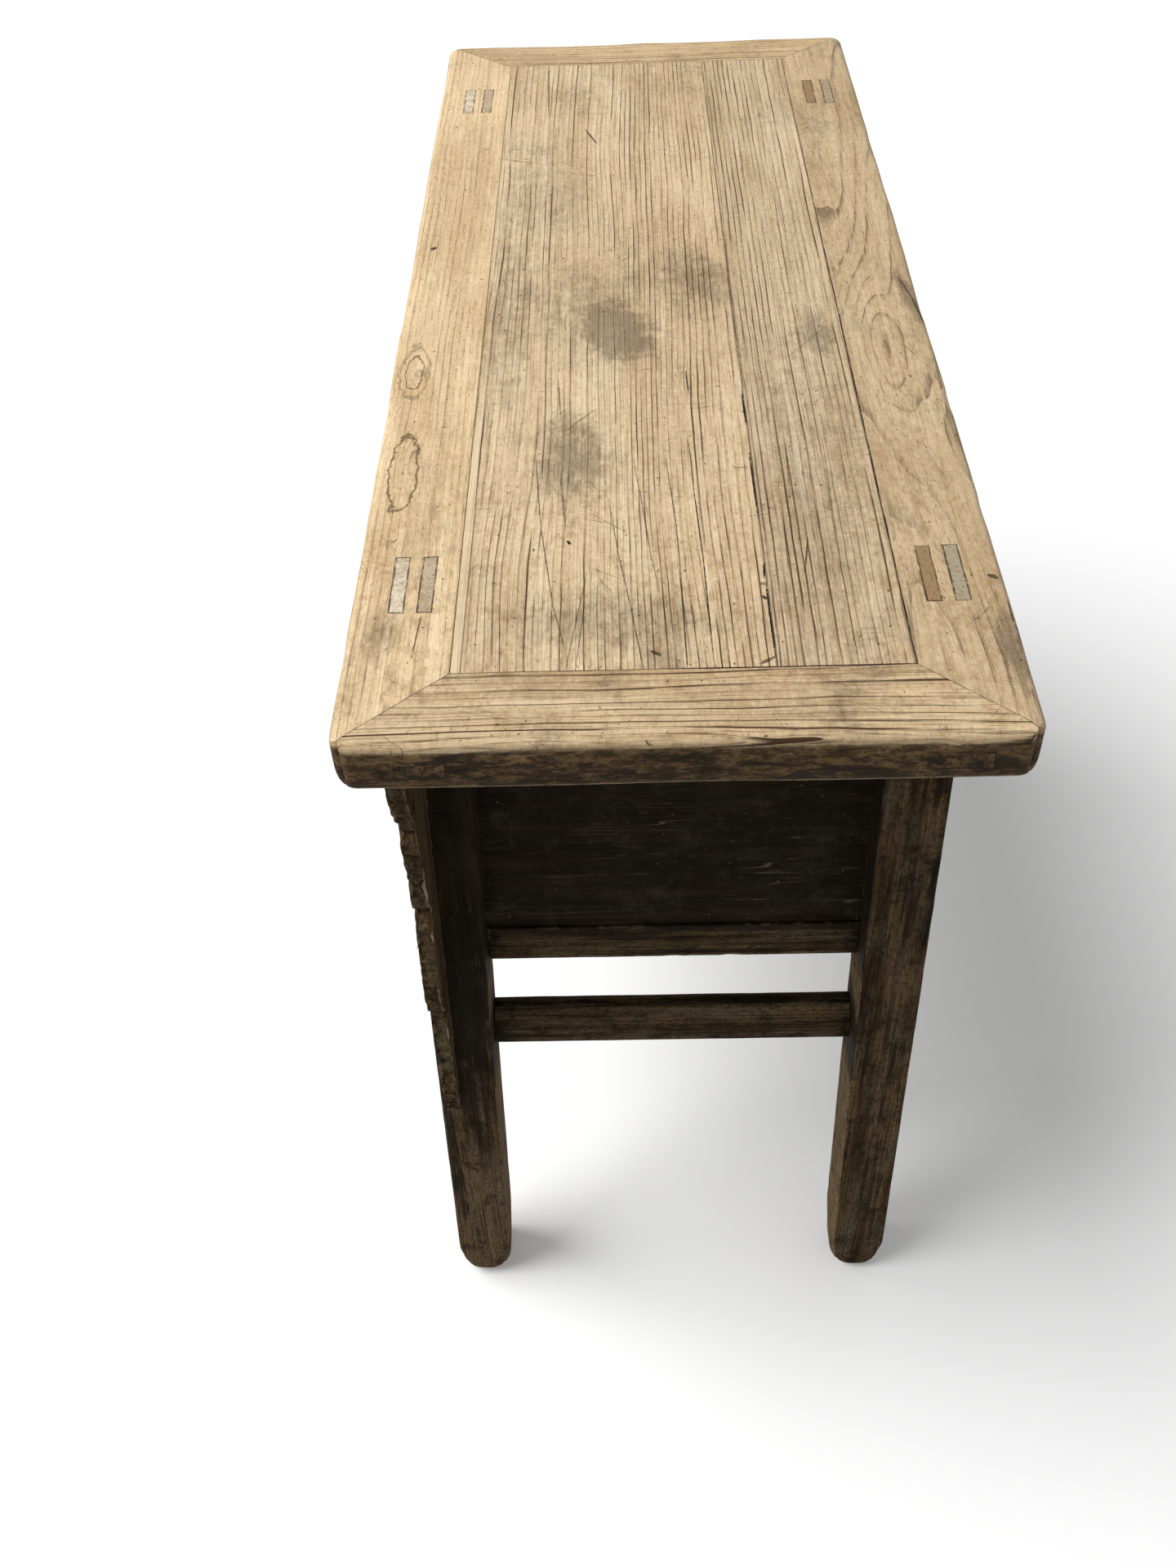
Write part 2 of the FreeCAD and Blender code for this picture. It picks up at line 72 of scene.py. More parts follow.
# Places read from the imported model
MEMBER_LOW, MEMBER_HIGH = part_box("top_front_member")
HALF_LENGTH = MEMBER_HIGH[0]
HALF_DEPTH = -MEMBER_LOW[1]
INNER_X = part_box("top_end_member_right")[0][0]
INNER_Y = -MEMBER_HIGH[1]
UNDERSIDE, TOP = MEMBER_LOW[2], MEMBER_HIGH[2]
SEAM_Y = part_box("top_front_board")[1][1]
LEG_LOW, LEG_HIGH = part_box("leg_back_right")
LEG_X = (LEG_LOW[0] + LEG_HIGH[0]) / 2
# Half the length of a leg's section, and half the depth of its foot
LEG_HALF = 28.5 * MM
FOOT_HALF = 24.5 * MM
FOOT_Y = LEG_HIGH[1] - FOOT_HALF
RAIL_LOW, RAIL_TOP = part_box("end_lower_rail_right")[0][2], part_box("end_lower_rail_right")[1][2]
STRETCHER_LOW, STRETCHER_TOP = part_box("end_stretcher_right")[0][2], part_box("end_stretcher_right")[1][2]

# Tenons that show on the top, and on the two ends
TENON_INSETS = (29.5 * MM, 47.5 * MM)
TENON_HALF = 4.5 * MM
THROUGH_HALF = (19.0 * MM, 6.0 * MM)
THROUGH_Z = UNDERSIDE + 17.5 * MM

# Camera, from the table's corners, tenons and leg edges in the photograph
CAMERA_PLACE = Vector((1.17726, -0.03443, 1.45867))
CAMERA_YAW = math.radians(-2.01)
CAMERA_PITCH = math.radians(44.94)
CAMERA_ROLL = math.radians(-2.55)
CAMERA_SENSOR = 36.0
CAMERA_LENS = 47.52

# Light and floor
KEY_FROM = Vector((0.07, -0.70, 1.0))
KEY_ANGLE = math.radians(42)
KEY_STRENGTH = 2.76
AMBIENT = 0.31
FLOOR_HALF = 20.0
FLOOR_SEEN = (0.92, 0.92, 0.92, 1.0)
FLOOR_UNSEEN = (0.35, 0.35, 0.35, 1.0)
FLOOR_GLOW = 0.14
WHITE = (1.0, 1.0, 1.0, 1.0)


def linear(red, green, blue):
    """A written sRGB colour, 0 to 255, as linear light with alpha."""
    shares = [channel / 255 for channel in (red, green, blue)]
    return [s / 12.92 if s <= 0.04045 else ((s + 0.055) / 1.055) ** 2.4 for s in shares] + [1.0]


# Colours
ELM_PALE = linear(247, 228, 192)
ELM_LIGHT = linear(244, 221, 184)
ELM_TAN = linear(230, 203, 161)
ELM_BROWN = linear(170, 136, 96)
ELM_LINE = linear(74, 54, 34)
ELM_GREY_PALE = linear(196, 184, 162)
ELM_GREY = linear(140, 130, 115)
STAIN = linear(150, 148, 152)
RESIDUE = linear(30, 24, 17)
COAT = linear(21, 15, 9)
COAT_GREY = linear(40, 36, 29)
WOOD_BROWN = linear(128, 106, 76)
WOOD_GREY = linear(114, 103, 84)
INNER_PALE = linear(158, 134, 102)
SIDE_BROWN = linear(120, 97, 66)
WOOD_DARK = linear(68, 51, 33)
WORN_PALE = linear(176, 154, 120)
SCUFF = linear(124, 112, 90)
DUST = linear(120, 116, 106)
BARE_TAN = linear(150, 120, 84)
BARE_DARK = linear(104, 80, 54)
BRASS_BRIGHT = linear(150, 122, 72)
BRASS_DARK = linear(62, 50, 34)


def placed(name, data):
    """A new object in the scene."""
    piece = bpy.data.objects.new(name, data)
    bpy.context.scene.collection.objects.link(piece)
    return piece


# Smooth noise for the meshes
def lattice_noise(points, cell, seed):
    """Noise from 0 to 1 whose features are about one cell wide, one size or one per axis."""
    count = 32
    grid = np.random.default_rng(seed).random((count, count, count))
    scaled = points / cell
    base = np.floor(scaled).astype(int)
    part = scaled - base
    part = part * part * (3 - 2 * part)
    total = np.zeros(len(points))
    for corner in np.ndindex(2, 2, 2):
        index = (base + corner) % count
        weight = np.where(corner, part, 1 - part).prod(axis=1)
        total += weight * grid[index[:, 0], index[:, 1], index[:, 2]]
    return total


def ramp(values, low, high):
    """Rises smoothly from 0 at low to 1 at high, or falls where high is below low."""
    share = np.clip((values - low) / (high - low), 0, 1)
    return share * share * (3 - 2 * share)


def distance_to_lines(points, lines):
    """Distance from each point to the nearest of the straight lines, each given by its two ends."""
    nearest = np.full(len(points), np.inf)
    for start, end in lines:
        along = end - start
        share = np.clip((points - start) @ along / max(along @ along, 1e-12), 0, 1)
        gap = np.linalg.norm(points - start - share[:, None] * along, axis=1)
        nearest = np.minimum(nearest, gap)
    return nearest


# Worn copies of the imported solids
def eased_faces(node, bevel):
    """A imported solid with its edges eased: its convex faces, their corner counts, and its arrises as lines."""
    work = bmesh.new()
    work.from_mesh(frame["nodes"][node].data)
    bmesh.ops.remove_doubles(work, verts=work.verts, dist=0.001 * MM)
    bmesh.ops.dissolve_limit(work, angle_limit=math.radians(0.5), verts=work.verts, edges=work.edges)
    arrises = [e for e in work.edges if e.is_convex and e.calc_face_angle(0.0) > ARRIS_ABOVE]
    lines = [[np.array(v.co) for v in e.verts] for e in arrises]
    if bevel:
        sharp = [e for e in arrises if e.calc_face_angle(0.0) > EASED_ABOVE]
        bmesh.ops.bevel(work, geom=sharp, offset=bevel, offset_type="OFFSET", segments=2,
                        profile=0.5, affect="EDGES", clamp_overlap=True)
    bmesh.ops.triangulate(work, faces=[f for f in work.faces if len(f.verts) > 4])
    faces = np.array([[tuple(v.co) for v in (f.verts[:] + f.verts[:1])[:4]] for f in work.faces])
    counts = np.array([len(f.verts) for f in work.faces])
    work.free()
    return faces, counts, lines


def clipped(faces, counts, axis, planes, side):
    """What each convex face keeps on one side of its own plane: side is 1 for above and -1 for below."""
    slots = np.arange(faces.shape[1])
    used = slots < counts[:, None]
    following = np.where(slots + 1 < counts[:, None], slots + 1, 0)
    rows = np.arange(len(faces))[:, None]
    gap = side * (faces[:, :, axis] - planes[:, None])
    next_gap = gap[rows, following]
    crossed = used & (np.sign(gap) * np.sign(next_gap) < 0)
    share = gap / np.where(crossed, gap - next_gap, 1)
    crossings = faces + np.where(crossed, share, 0)[..., None] * (faces[rows, following] - faces)
    corners = np.stack([faces, crossings], axis=2).reshape(len(faces), -1, 3)
    kept = np.stack([used & (gap >= 0), crossed], axis=2).reshape(len(faces), -1)
    counts = kept.sum(axis=1)
    order = np.argsort(~kept, axis=1, kind="stable")[:, :max(counts.max(), 3)]
    whole = counts >= 3
    return corners[rows, order][whole], counts[whole], whole


def split_across(faces, counts, axis, step):
    """Cuts the faces along planes one step apart."""
    used = np.arange(faces.shape[1]) < counts[:, None]
    height = faces[:, :, axis] / step - CUT_PHASE
    first = np.floor(np.where(used, height, np.inf).min(axis=1) + 1e-4).astype(int)
    last = np.ceil(np.where(used, height, -np.inf).max(axis=1) - 1e-4).astype(int)
    bands = np.maximum(last - first, 1)
    source = np.repeat(np.arange(len(faces)), bands)
    band = first[source] + np.arange(len(source)) - np.repeat(np.cumsum(bands) - bands, bands)
    low = (band + CUT_PHASE) * step
    faces, counts, whole = clipped(faces[source], counts[source], axis, low, 1)
    high = low[whole] + step
    return clipped(faces, counts, axis, high, -1)[:2]


def new_mesh(name, faces, counts):
    """A welded mesh of the faces."""
    used = np.arange(faces.shape[1]) < counts[:, None]
    places, corners = np.unique(np.round(faces[used], 6), axis=0, return_inverse=True)
    mesh = bpy.data.meshes.new(name)
    mesh.vertices.add(len(places))
    mesh.vertices.foreach_set("co", places.ravel())
    mesh.loops.add(len(corners))
    mesh.loops.foreach_set("vertex_index", corners.ravel().astype(np.int32))
    mesh.polygons.add(len(counts))
    mesh.polygons.foreach_set("loop_start", (np.cumsum(counts) - counts).astype(np.int32))
    mesh.update(calc_edges=True)
    work = bmesh.new()
    work.from_mesh(mesh)
    bmesh.ops.remove_doubles(work, verts=work.verts, dist=WELD)
    bmesh.ops.dissolve_degenerate(work, edges=work.edges, dist=0.01 * MM)
    work.to_mesh(mesh)
    work.free()
    return mesh


def vectors_of(items, what, count):
    """One property of a mesh's items as rows of numbers."""
    values = np.empty(count * 3)
    items.foreach_get(what, values)
    return values.reshape(-1, 3)


def worn_copy(node, steps, bevel, shape, paint):
    """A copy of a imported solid, cut into small faces, worn by one function and painted by the other."""
    faces, counts, lines = eased_faces(node, bevel)
    for axis, step in enumerate(steps):
        faces, counts = split_across(faces, counts, axis, step)
    mesh = new_mesh(node + "_worn", faces, counts)
    places = vectors_of(mesh.vertices, "co", len(mesh.vertices))
    normals = vectors_of(mesh.vertex_normals, "vector", len(mesh.vertices))
    arris = distance_to_lines(places, lines)
    channels = np.ones((len(places), 4))
    channels[:, :3] = paint(places, normals, arris)
    layer = mesh.attributes.new("paint", "FLOAT_COLOR", "POINT")
    layer.data.foreach_set("color", channels.ravel())
    mesh.vertices.foreach_set("co", shape(places, normals, arris).ravel())
    mesh.shade_smooth()
    mesh.set_sharp_from_angle(angle=SMOOTH_BELOW)
    return placed(node + "_worn", mesh)


def dress(node, material, steps, bevel=0.0, shape=None, paint=None):
    """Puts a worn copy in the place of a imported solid."""
    piece = worn_copy(node, steps, bevel, shape or handled, paint or plain_paint)
    piece.data.materials.append(material)
    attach(piece, frame["nodes"][node]["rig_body"])
    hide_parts(node)


def finish_node(node, material):
    """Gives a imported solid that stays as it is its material."""
    piece = frame["nodes"][node]
    for place in piece.material_slots:
        place.material = material
    piece.data.shade_smooth()
    piece.data.set_sharp_from_angle(angle=SMOOTH_BELOW)


# How surfaces wear
def handled(places, normals, arris):
    """Slight hollows all over, and dents along the arrises."""
    hollow = 0.35 * MM * lattice_noise(places, 18 * MM, 3)
    near = np.exp(-arris / (4 * MM))
    dent = 1.1 * MM * near * ramp(lattice_noise(places, 9 * MM, 5), 0.62, 0.9)
    return places - normals * (hollow + dent)[:, None]


def chipped(places, normals, arris):
    """Rough carved edges: knife cuts and chips across the scalloped sides, less on the faces."""
    side = ramp(np.hypot(normals[:, 0], normals[:, 2]), 0.3, 0.9)
    flat = places * (1, 0.35, 1)
    chip = 3.2 * MM * ramp(lattice_noise(flat, 8 * MM, 31), 0.3, 0.8)
    cut = 2.2 * MM * ramp(np.abs(lattice_noise(flat, 13 * MM, 32) - 0.5), 0.06, 0.0)
    worn = 0.5 * MM * lattice_noise(places, 8 * MM, 33)
    dent = 0.9 * MM * np.exp(-arris / (2 * MM)) * ramp(lattice_noise(places, 6 * MM, 34), 0.45, 0.8)
    # Bites that a gouge left one above the other down an outer edge
    outward = ramp(normals[:, 0] * np.sign(places[:, 0]), 0.4, 0.9)
    level = places[:, 2] / (21 * MM) + 1.2 * lattice_noise(places * (0, 0, 1), 60 * MM, 35)
    bite = 3.0 * MM * outward * np.abs(2 * (level % 1) - 1) ** 3
    return places - normals * (side * (chip + cut) + worn + dent + bite)[:, None]


def rubbed(places, normals, arris):
    """Wood planed by hand and hardly touched since."""
    return places - normals * (0.25 * MM * lattice_noise(places, 25 * MM, 41))[:, None]


def beaten(places, normals, arris):
    """Thin sheet metal, beaten flat by hand."""
    dent = 0.22 * MM * lattice_noise(places, 7 * MM, 42) + 0.12 * MM * lattice_noise(places, 3 * MM, 43)
    return places - normals * dent[:, None]


def spiral(x, z, size, start, hand):
    """Points that wind in to a centre, as (x, z)."""
    share = np.linspace(0, 1, 26)
    angle = math.radians(start) + hand * share * 2.9 * math.pi
    reach = size * (1 - 0.86 * share)
    return [(x + r * math.cos(a), z + r * math.sin(a)) for a, r in zip(angle, reach)]


def as_lines(points):
    """A row of (x, z) points as straight lines on the plane of the front."""
    corners = [np.array([x, 0.0, z]) for x, z in points]
    return list(zip(corners, corners[1:]))


def wave(start, end, size, count):
    """Points along a straight line that swing from side to side, as (x, z)."""
    share = np.linspace(0, 1, 10 * count)
    (x, z), (to_x, to_z) = start, end
    length = math.hypot(to_x - x, to_z - z)
    across = ((z - to_z) / length, (to_x - x) / length)
    swing = size * np.sin(share * count * math.pi)
    return [(x + s * (to_x - x) + w * across[0], z + s * (to_z - z) + w * across[1])
            for s, w in zip(share, swing)]


def spandrel_vine():
    """Scrolls that hang down the outer spandrel, larger where it is wider."""
    face = LEG_X + LEG_HALF
    # How far out and down, size in mm, first angle, and the hand it winds to
    scrolls = ((38, 44, 22, 200, 1), (62, 24, 9, 90, -1), (25, 136, 15, 120, -1), (19, 232, 11, 240, 1),
               (19, 296, 10, 120, -1), (12, 356, 6, 240, 1), (9, 410, 5, 120, -1))
    high, low = UNDERSIDE - 70 * MM, UNDERSIDE - 470 * MM
    lines = as_lines(wave((face + 12 * MM, high), (face + 6 * MM, low), 4 * MM, 9))
    for out, down, size, start, hand in scrolls:
        lines += as_lines(spiral(face + out * MM, UNDERSIDE - down * MM, size * MM, start, hand))
    return lines


def apron_vine():
    """Scrolls in the ends of the apron and a low wave between them."""
    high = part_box("front_lower_rail")[0][2]
    lines = as_lines(wave((0.0, high - 9 * MM), (250 * MM, high - 9 * MM), 3.5 * MM, 9))
    for x, down, size, start, hand in ((340, 22, 12, 90, 1), (308, 15, 8, 250, -1), (276, 11, 6, 90, 1)):
        lines += as_lines(spiral(x * MM, high - down * MM, size * MM, start, hand))
    return lines


def carved(lines):
    """Wear for a board with a vine and a border left standing above its lowered ground."""
    def shape(places, normals, arris):
        moved = chipped(places, normals, arris)
        flat = np.abs(places) * (1, 0, 1)
        stem = ramp(distance_to_lines(flat, lines), 3.6 * MM, 1.0 * MM)
        border = ramp(arris, 7.0 * MM, 4.5 * MM)
        front = ramp(-normals[:, 1], 0.7, 0.95)
        moved[:, 1] += 2.3 * MM * front * (1 - np.maximum(stem, border))
        return moved
    return shape


def rounded(out_x, out_y, half_x, half_y, size):
    """How far points near the corners of a rectangle move in, in X and Y, to round it to a size."""
    across_x = np.clip(np.abs(out_x) - half_x + size, 0, None)
    across_y = np.clip(np.abs(out_y) - half_y + size, 0, None)
    length = np.hypot(across_x, across_y)
    share = np.where(length > 0, np.maximum(across_x, across_y) / np.maximum(length, 1e-9), 1.0)
    return np.sign(out_x) * across_x * (1 - share), np.sign(out_y) * across_y * (1 - share)


def top_wear(places, normals, arris):
    """Wear that depends on place alone, so that the joints of the top stay closed."""
    x, y, z = places.T
    level = np.clip((z - UNDERSIDE) / (TOP - UNDERSIDE), 0, 1)
    edge_x = HALF_LENGTH - np.abs(x)
    edge_y = HALF_DEPTH - np.abs(y)
    moved = places.copy()
    moved[:, :2] -= np.stack(rounded(x, y, HALF_LENGTH, HALF_DEPTH, 13 * MM), axis=1)
    # Edges: slow waves and a few hollows
    flat = places * (1, 1, 0)
    hollow = 0.7 * MM * ramp(lattice_noise(places, 45 * MM, 12), 0.6, 0.9)
    wave = 0.7 * MM * ramp(lattice_noise(flat, 90 * MM, 11), 0.3, 0.9) + hollow
    moved[:, 0] -= np.sign(x) * wave * ramp(edge_x, 20 * MM, 0)
    moved[:, 1] -= np.sign(y) * wave * ramp(edge_y, 20 * MM, 0)
    # Upper arris worn down, and the surface gently uneven
    edge = np.minimum(edge_x, edge_y)
    fall = (0.4 + 1.6 * lattice_noise(flat, 40 * MM, 13)) * MM * ramp(edge, 12 * MM, 0)
    uneven = 0.5 * MM * lattice_noise(flat, np.array([120, 45, 1]) * MM, 14)
    moved[:, 2] -= level * (fall + uneven)
    return moved


def leg_wear(places, normals, arris):
    """Tenons wear with the top, feet wear round, and the rest wears as handled wood."""
    worn = handled(places, normals, arris)
    size = 20 * MM * ramp(places[:, 2], 65 * MM, 12 * MM)
    out = places[:, :2] - np.sign(places[:, :2]) * (LEG_X, FOOT_Y)
    worn[:, :2] -= np.stack(rounded(*out.T, LEG_HALF, FOOT_HALF, size), axis=1)
    tenon = places[:, 2] > UNDERSIDE + 1 * MM
    worn[tenon] = top_wear(places[tenon], normals[tenon], arris[tenon])
    return worn


# What the materials are told about a surface: arris, bareness with a painted highlight on the end stretchers,
# and dirt with painted shade
def plain_paint(places, normals, arris):
    """Arrises alone."""
    return np.exp(-arris / (3 * MM))[:, None] * (1, 0, 0)


def end_paint(places, normals, arris):
    """Painted shade in the corners that the pieces of an end make with each other and with the top, and a
    painted highlight and painted shadow on the stretcher.
    """
    z = places[:, 2]
    # Painted shade: darker under the top, along the top of the lower rail, and near the legs
    shade_under_top = ramp(z, UNDERSIDE - 0.10, UNDERSIDE - 0.01)
    shade_at_rail = ramp(np.abs(z - RAIL_TOP), 8 * MM, 0)
    shade_at_leg = ramp(np.abs(places[:, 1]), 0.135, 0.152)
    shade_and_dirt = np.maximum(np.maximum(0.6 * shade_under_top, shade_at_rail), shade_at_leg)
    # The stretcher's ridge, between its side and its top, lightened as a painted highlight, and its upper edges
    # darkened as painted shadow from the table above
    facing = (np.abs(normals[:, 0]) + normals[:, 2]) * 0.5 ** 0.5
    stretcher = ramp(z, RAIL_LOW - 0.01, RAIL_LOW - 0.03)
    ridge_highlight = 0.55 * ramp(facing, 0.6, 1.0) * stretcher
    # Painted shadow on the upward faces of the stretcher
    edges = 0.5 * ramp(normals[:, 2], 0.6, 0.98) * stretcher
    # The painted highlight goes into the bareness channel, and the painted shade and shadow go into the shade
    # and dirt channel
    return np.stack([np.exp(-arris / (2.5 * MM)), ridge_highlight, np.maximum(shade_and_dirt * (1 - ridge_highlight), edges)], axis=1)


def top_paint(places, normals, arris):
    """Arris along the outer edge only, then the sides and the lowest part of them."""
    x, y, z = places.T
    edge = np.minimum(HALF_LENGTH - np.abs(x), HALF_DEPTH - np.abs(y))
    upper = ramp(edge, 6 * MM, 1 * MM) * ramp(np.abs(z - TOP + 3 * MM), 6 * MM, 1 * MM)
    lip = 0.8 * ramp(np.abs(z - UNDERSIDE - 1.5 * MM), 3 * MM, 0)
    side = ramp(z, TOP - 3 * MM, TOP - 9 * MM)
    below = ramp(z, UNDERSIDE + 12 * MM, UNDERSIDE)
    return np.stack([np.maximum(upper, lip), side, below], axis=1)


def leg_paint(places, normals, arris):
    """Bare wood low down and on the faces towards the other legs, and painted shade round the joints and under
    the top.
    """
    x, y, z = places.T
    inward = np.maximum(-normals[:, 1] * np.sign(y), -normals[:, 0] * np.sign(x))
    low = ramp(z, 0.34, 0.02)
    inner = ramp(inward, 0.5, 0.9) * ramp(z, RAIL_LOW + 0.005, RAIL_LOW - 0.015)
    middle = (STRETCHER_LOW + STRETCHER_TOP) / 2
    # Painted shade on the faces towards the other legs, round the stretcher joint
    shade_near_stretcher = 0.85 * ramp(np.abs(z - middle), 0.062, 0.022) * ramp(inward, 0.5, 0.9)
    # Front legs, at negative Y, are worn bare further up than the back ones, and darker above that with painted
    # shade and a blacker coat; the back legs get painted shade just under the top
    worn_low = np.where(y < 0, 0.62 * ramp(z, 0.42, 0.16), 0.45 * low)
    bare = np.clip(worn_low + 0.8 * inner, 0, 1) * (1 - shade_near_stretcher)
    upper_shade_and_coat = np.where(y < 0, ramp(z, 0.34, 0.52), 0.5 * ramp(z, UNDERSIDE - 0.12, UNDERSIDE))
    shade_and_dirt = np.maximum(shade_near_stretcher, upper_shade_and_coat)
    # Painted shade on the faces towards the other legs, above the lower rail
    shade_and_dirt = np.maximum(shade_and_dirt, ramp(inward, 0.5, 0.9) * ramp(z, RAIL_LOW, RAIL_LOW + 0.02))
    return np.stack([np.exp(-arris / (2.2 * MM)), bare, shade_and_dirt], axis=1)


# Node trees
class Nodes:
    """Short calls that build a material's nodes."""

    def __init__(self, tree):
        self.tree = tree

    def add(self, kind, feeds=None, **settings):
        """A new node with its settings made and its inputs fed, by name or number."""
        node = self.tree.nodes.new(kind)
        for name, value in settings.items():
            setattr(node, name, value)
        for key, value in (feeds or {}).items():
            self.feed(node.inputs[key], value)
        return node

    def feed(self, socket, value):
        if isinstance(value, bpy.types.NodeSocket):
            self.tree.links.new(value, socket)
        else:
            socket.default_value = value

    def math(self, kind, first, second=0.0, third=0.0, clamp=False):
        node = self.add("ShaderNodeMath", {0: first, 1: second, 2: third}, operation=kind)
        node.use_clamp = clamp
        return node.outputs[0]

    def plus(self, total, *values):
        for value in values:
            total = self.math("ADD", total, value)
        return total

    def minus(self, first, second):
        return self.math("SUBTRACT", first, second)

    def times(self, first, second):
        return self.math("MULTIPLY", first, second)

    def abs(self, value):
        return self.math("ABSOLUTE", value)

    def swing(self, noise, amount):
        """Noise about zero, with an amount."""
        return self.times(self.minus(noise, 0.5), amount)

    def highest(self, result, *values):
        for value in values:
            result = self.math("MAXIMUM", result, value)
        return result

    def vector_math(self, kind, first, second):
        return self.add("ShaderNodeVectorMath", {0: first, 1: second}, operation=kind).outputs

    def scaled(self, vector, factors):
        return self.vector_math("MULTIPLY", vector, factors)[0]

    def shifted(self, vector, offset):
        return self.vector_math("ADD", vector, offset)[0]

    def noise(self, vector, detail=2.0, rough=0.5):
        feeds = {"Vector": vector, "Scale": 1.0, "Detail": detail, "Roughness": rough}
        return self.add("ShaderNodeTexNoise", feeds).outputs["Fac"]

    def rise(self, value, low, high, end=1.0, start=0.0):
        """Smooth step, from start where the value is low to end where it is high."""
        feeds = {"Value": value, "From Min": low, "From Max": high, "To Min": start, "To Max": end}
        return self.add("ShaderNodeMapRange", feeds, interpolation_type="SMOOTHSTEP").outputs["Result"]

    def mix(self, share, first, second, blend="MIX"):
        """Two colours, which are inputs 6 and 7 of a mix node, and output 2."""
        feeds = {"Factor": share, 6: first, 7: second}
        return self.add("ShaderNodeMix", feeds, data_type="RGBA", blend_type=blend).outputs[2]

    def separate(self, vector):
        return self.add("ShaderNodeSeparateXYZ", {0: vector}).outputs

    def combine(self, x, y, z):
        return self.add("ShaderNodeCombineXYZ", {0: x, 1: y, 2: z}).outputs[0]

    def surface(self, colour, rough, height, depth, strength, settings):
        """Ends a material with a bump and a shader."""
        bump = self.add("ShaderNodeBump", {"Height": height, "Distance": depth, "Strength": strength})
        feeds = {"Base Color": colour, "Roughness": rough, "Normal": bump.outputs[0], **settings}
        self.show(self.add("ShaderNodeBsdfPrincipled", feeds).outputs[0])

    def show(self, shader, output="ShaderNodeOutputMaterial"):
        self.add(output, {"Surface": shader})


def wood_group():
    """Growth rings of a log cut into boards, with pores and fibres. The vector runs along the grain in X."""
    tree = bpy.data.node_groups.new("wood_rings", "ShaderNodeTree")
    tree.interface.new_socket("Vector", in_out="INPUT", socket_type="NodeSocketVector")
    for name in ("Pith Y", "Pith Z", "Spacing", "Waver", "Seed", "Bulge", "Ragged"):
        tree.interface.new_socket(name, in_out="INPUT", socket_type="NodeSocketFloat")
    for name in ("Line", "Fine", "Pore", "Fibre", "Streak", "Tone"):
        tree.interface.new_socket(name, in_out="OUTPUT", socket_type="NodeSocketFloat")
    n = Nodes(tree)
    given = n.add("NodeGroupInput").outputs
    shift = n.combine(n.times(given["Seed"], 3.17), n.times(given["Seed"], 1.73), given["Seed"])
    place = n.shifted(given["Vector"], shift)

    def drawn_out(lengthwise, across, detail=2.0, rough=0.5):
        return n.noise(n.scaled(place, (lengthwise, across, across)), detail, rough)

    slow = drawn_out(1.6, 7.0, 1.0)
    quick = drawn_out(9.0, 38.0)
    drift = n.swing(slow, given["Waver"])
    wobble = n.swing(quick, n.times(given["Ragged"], 3.4 * MM))
    _, y, z = n.separate(given["Vector"])
    from_y = n.plus(n.minus(y, given["Pith Y"]), drift)
    from_z = n.plus(n.minus(z, given["Pith Z"]), drift)
    radius = n.math("SQRT", n.plus(n.times(from_y, from_y), n.times(from_z, from_z)))
    count = n.math("DIVIDE", n.plus(radius, wobble, given["Bulge"]), given["Spacing"])

    def ring_lines(rings, thin, spread):
        """A random number for each ring, the place within it, and its line, which fades outwards."""
        random = n.add("ShaderNodeTexWhiteNoise", {"W": n.math("FLOOR", rings)}, noise_dimensions="1D")
        chance = random.outputs["Value"]
        width = n.math("MULTIPLY_ADD", chance, spread, thin)
        within = n.math("FRACT", rings)
        return chance, within, n.math("SUBTRACT", 1.0, n.math("DIVIDE", within, width), clamp=True)

    chance, within, fade = ring_lines(count, 0.11, 0.20)
    breaks = n.rise(drawn_out(7.0, 240.0, 3.0, 0.6), 0.36, 0.56)
    line = n.times(n.times(fade, n.math("MULTIPLY_ADD", chance, 0.6, 0.4)), breaks)
    _, _, fine_fade = ring_lines(n.plus(n.times(count, 3.0), 0.4), 0.18, 0.3)
    fine_breaks = n.rise(drawn_out(16.0, 520.0), 0.44, 0.6)
    pores = n.rise(drawn_out(70.0, 1500.0), 0.55, 0.7)
    outputs = {
        "Line": line,
        "Fine": n.times(fine_fade, fine_breaks),
        "Pore": n.times(pores, n.rise(within, 0.8, 0.0)),
        "Fibre": drawn_out(18.0, 700.0, 3.0, 0.65),
        "Streak": drawn_out(4.0, 170.0, 3.0, 0.6),
        "Tone": chance,
    }
    given_out = n.add("NodeGroupOutput").inputs
    for name, value in outputs.items():
        n.feed(given_out[name], value)
    return tree


WOOD_GROUP = wood_group()


def new_material(name):
    """An empty material, and what builds its nodes."""
    material = bpy.data.materials.new(name)
    material.use_nodes = True
    material.node_tree.nodes.clear()
    return material, Nodes(material.node_tree)


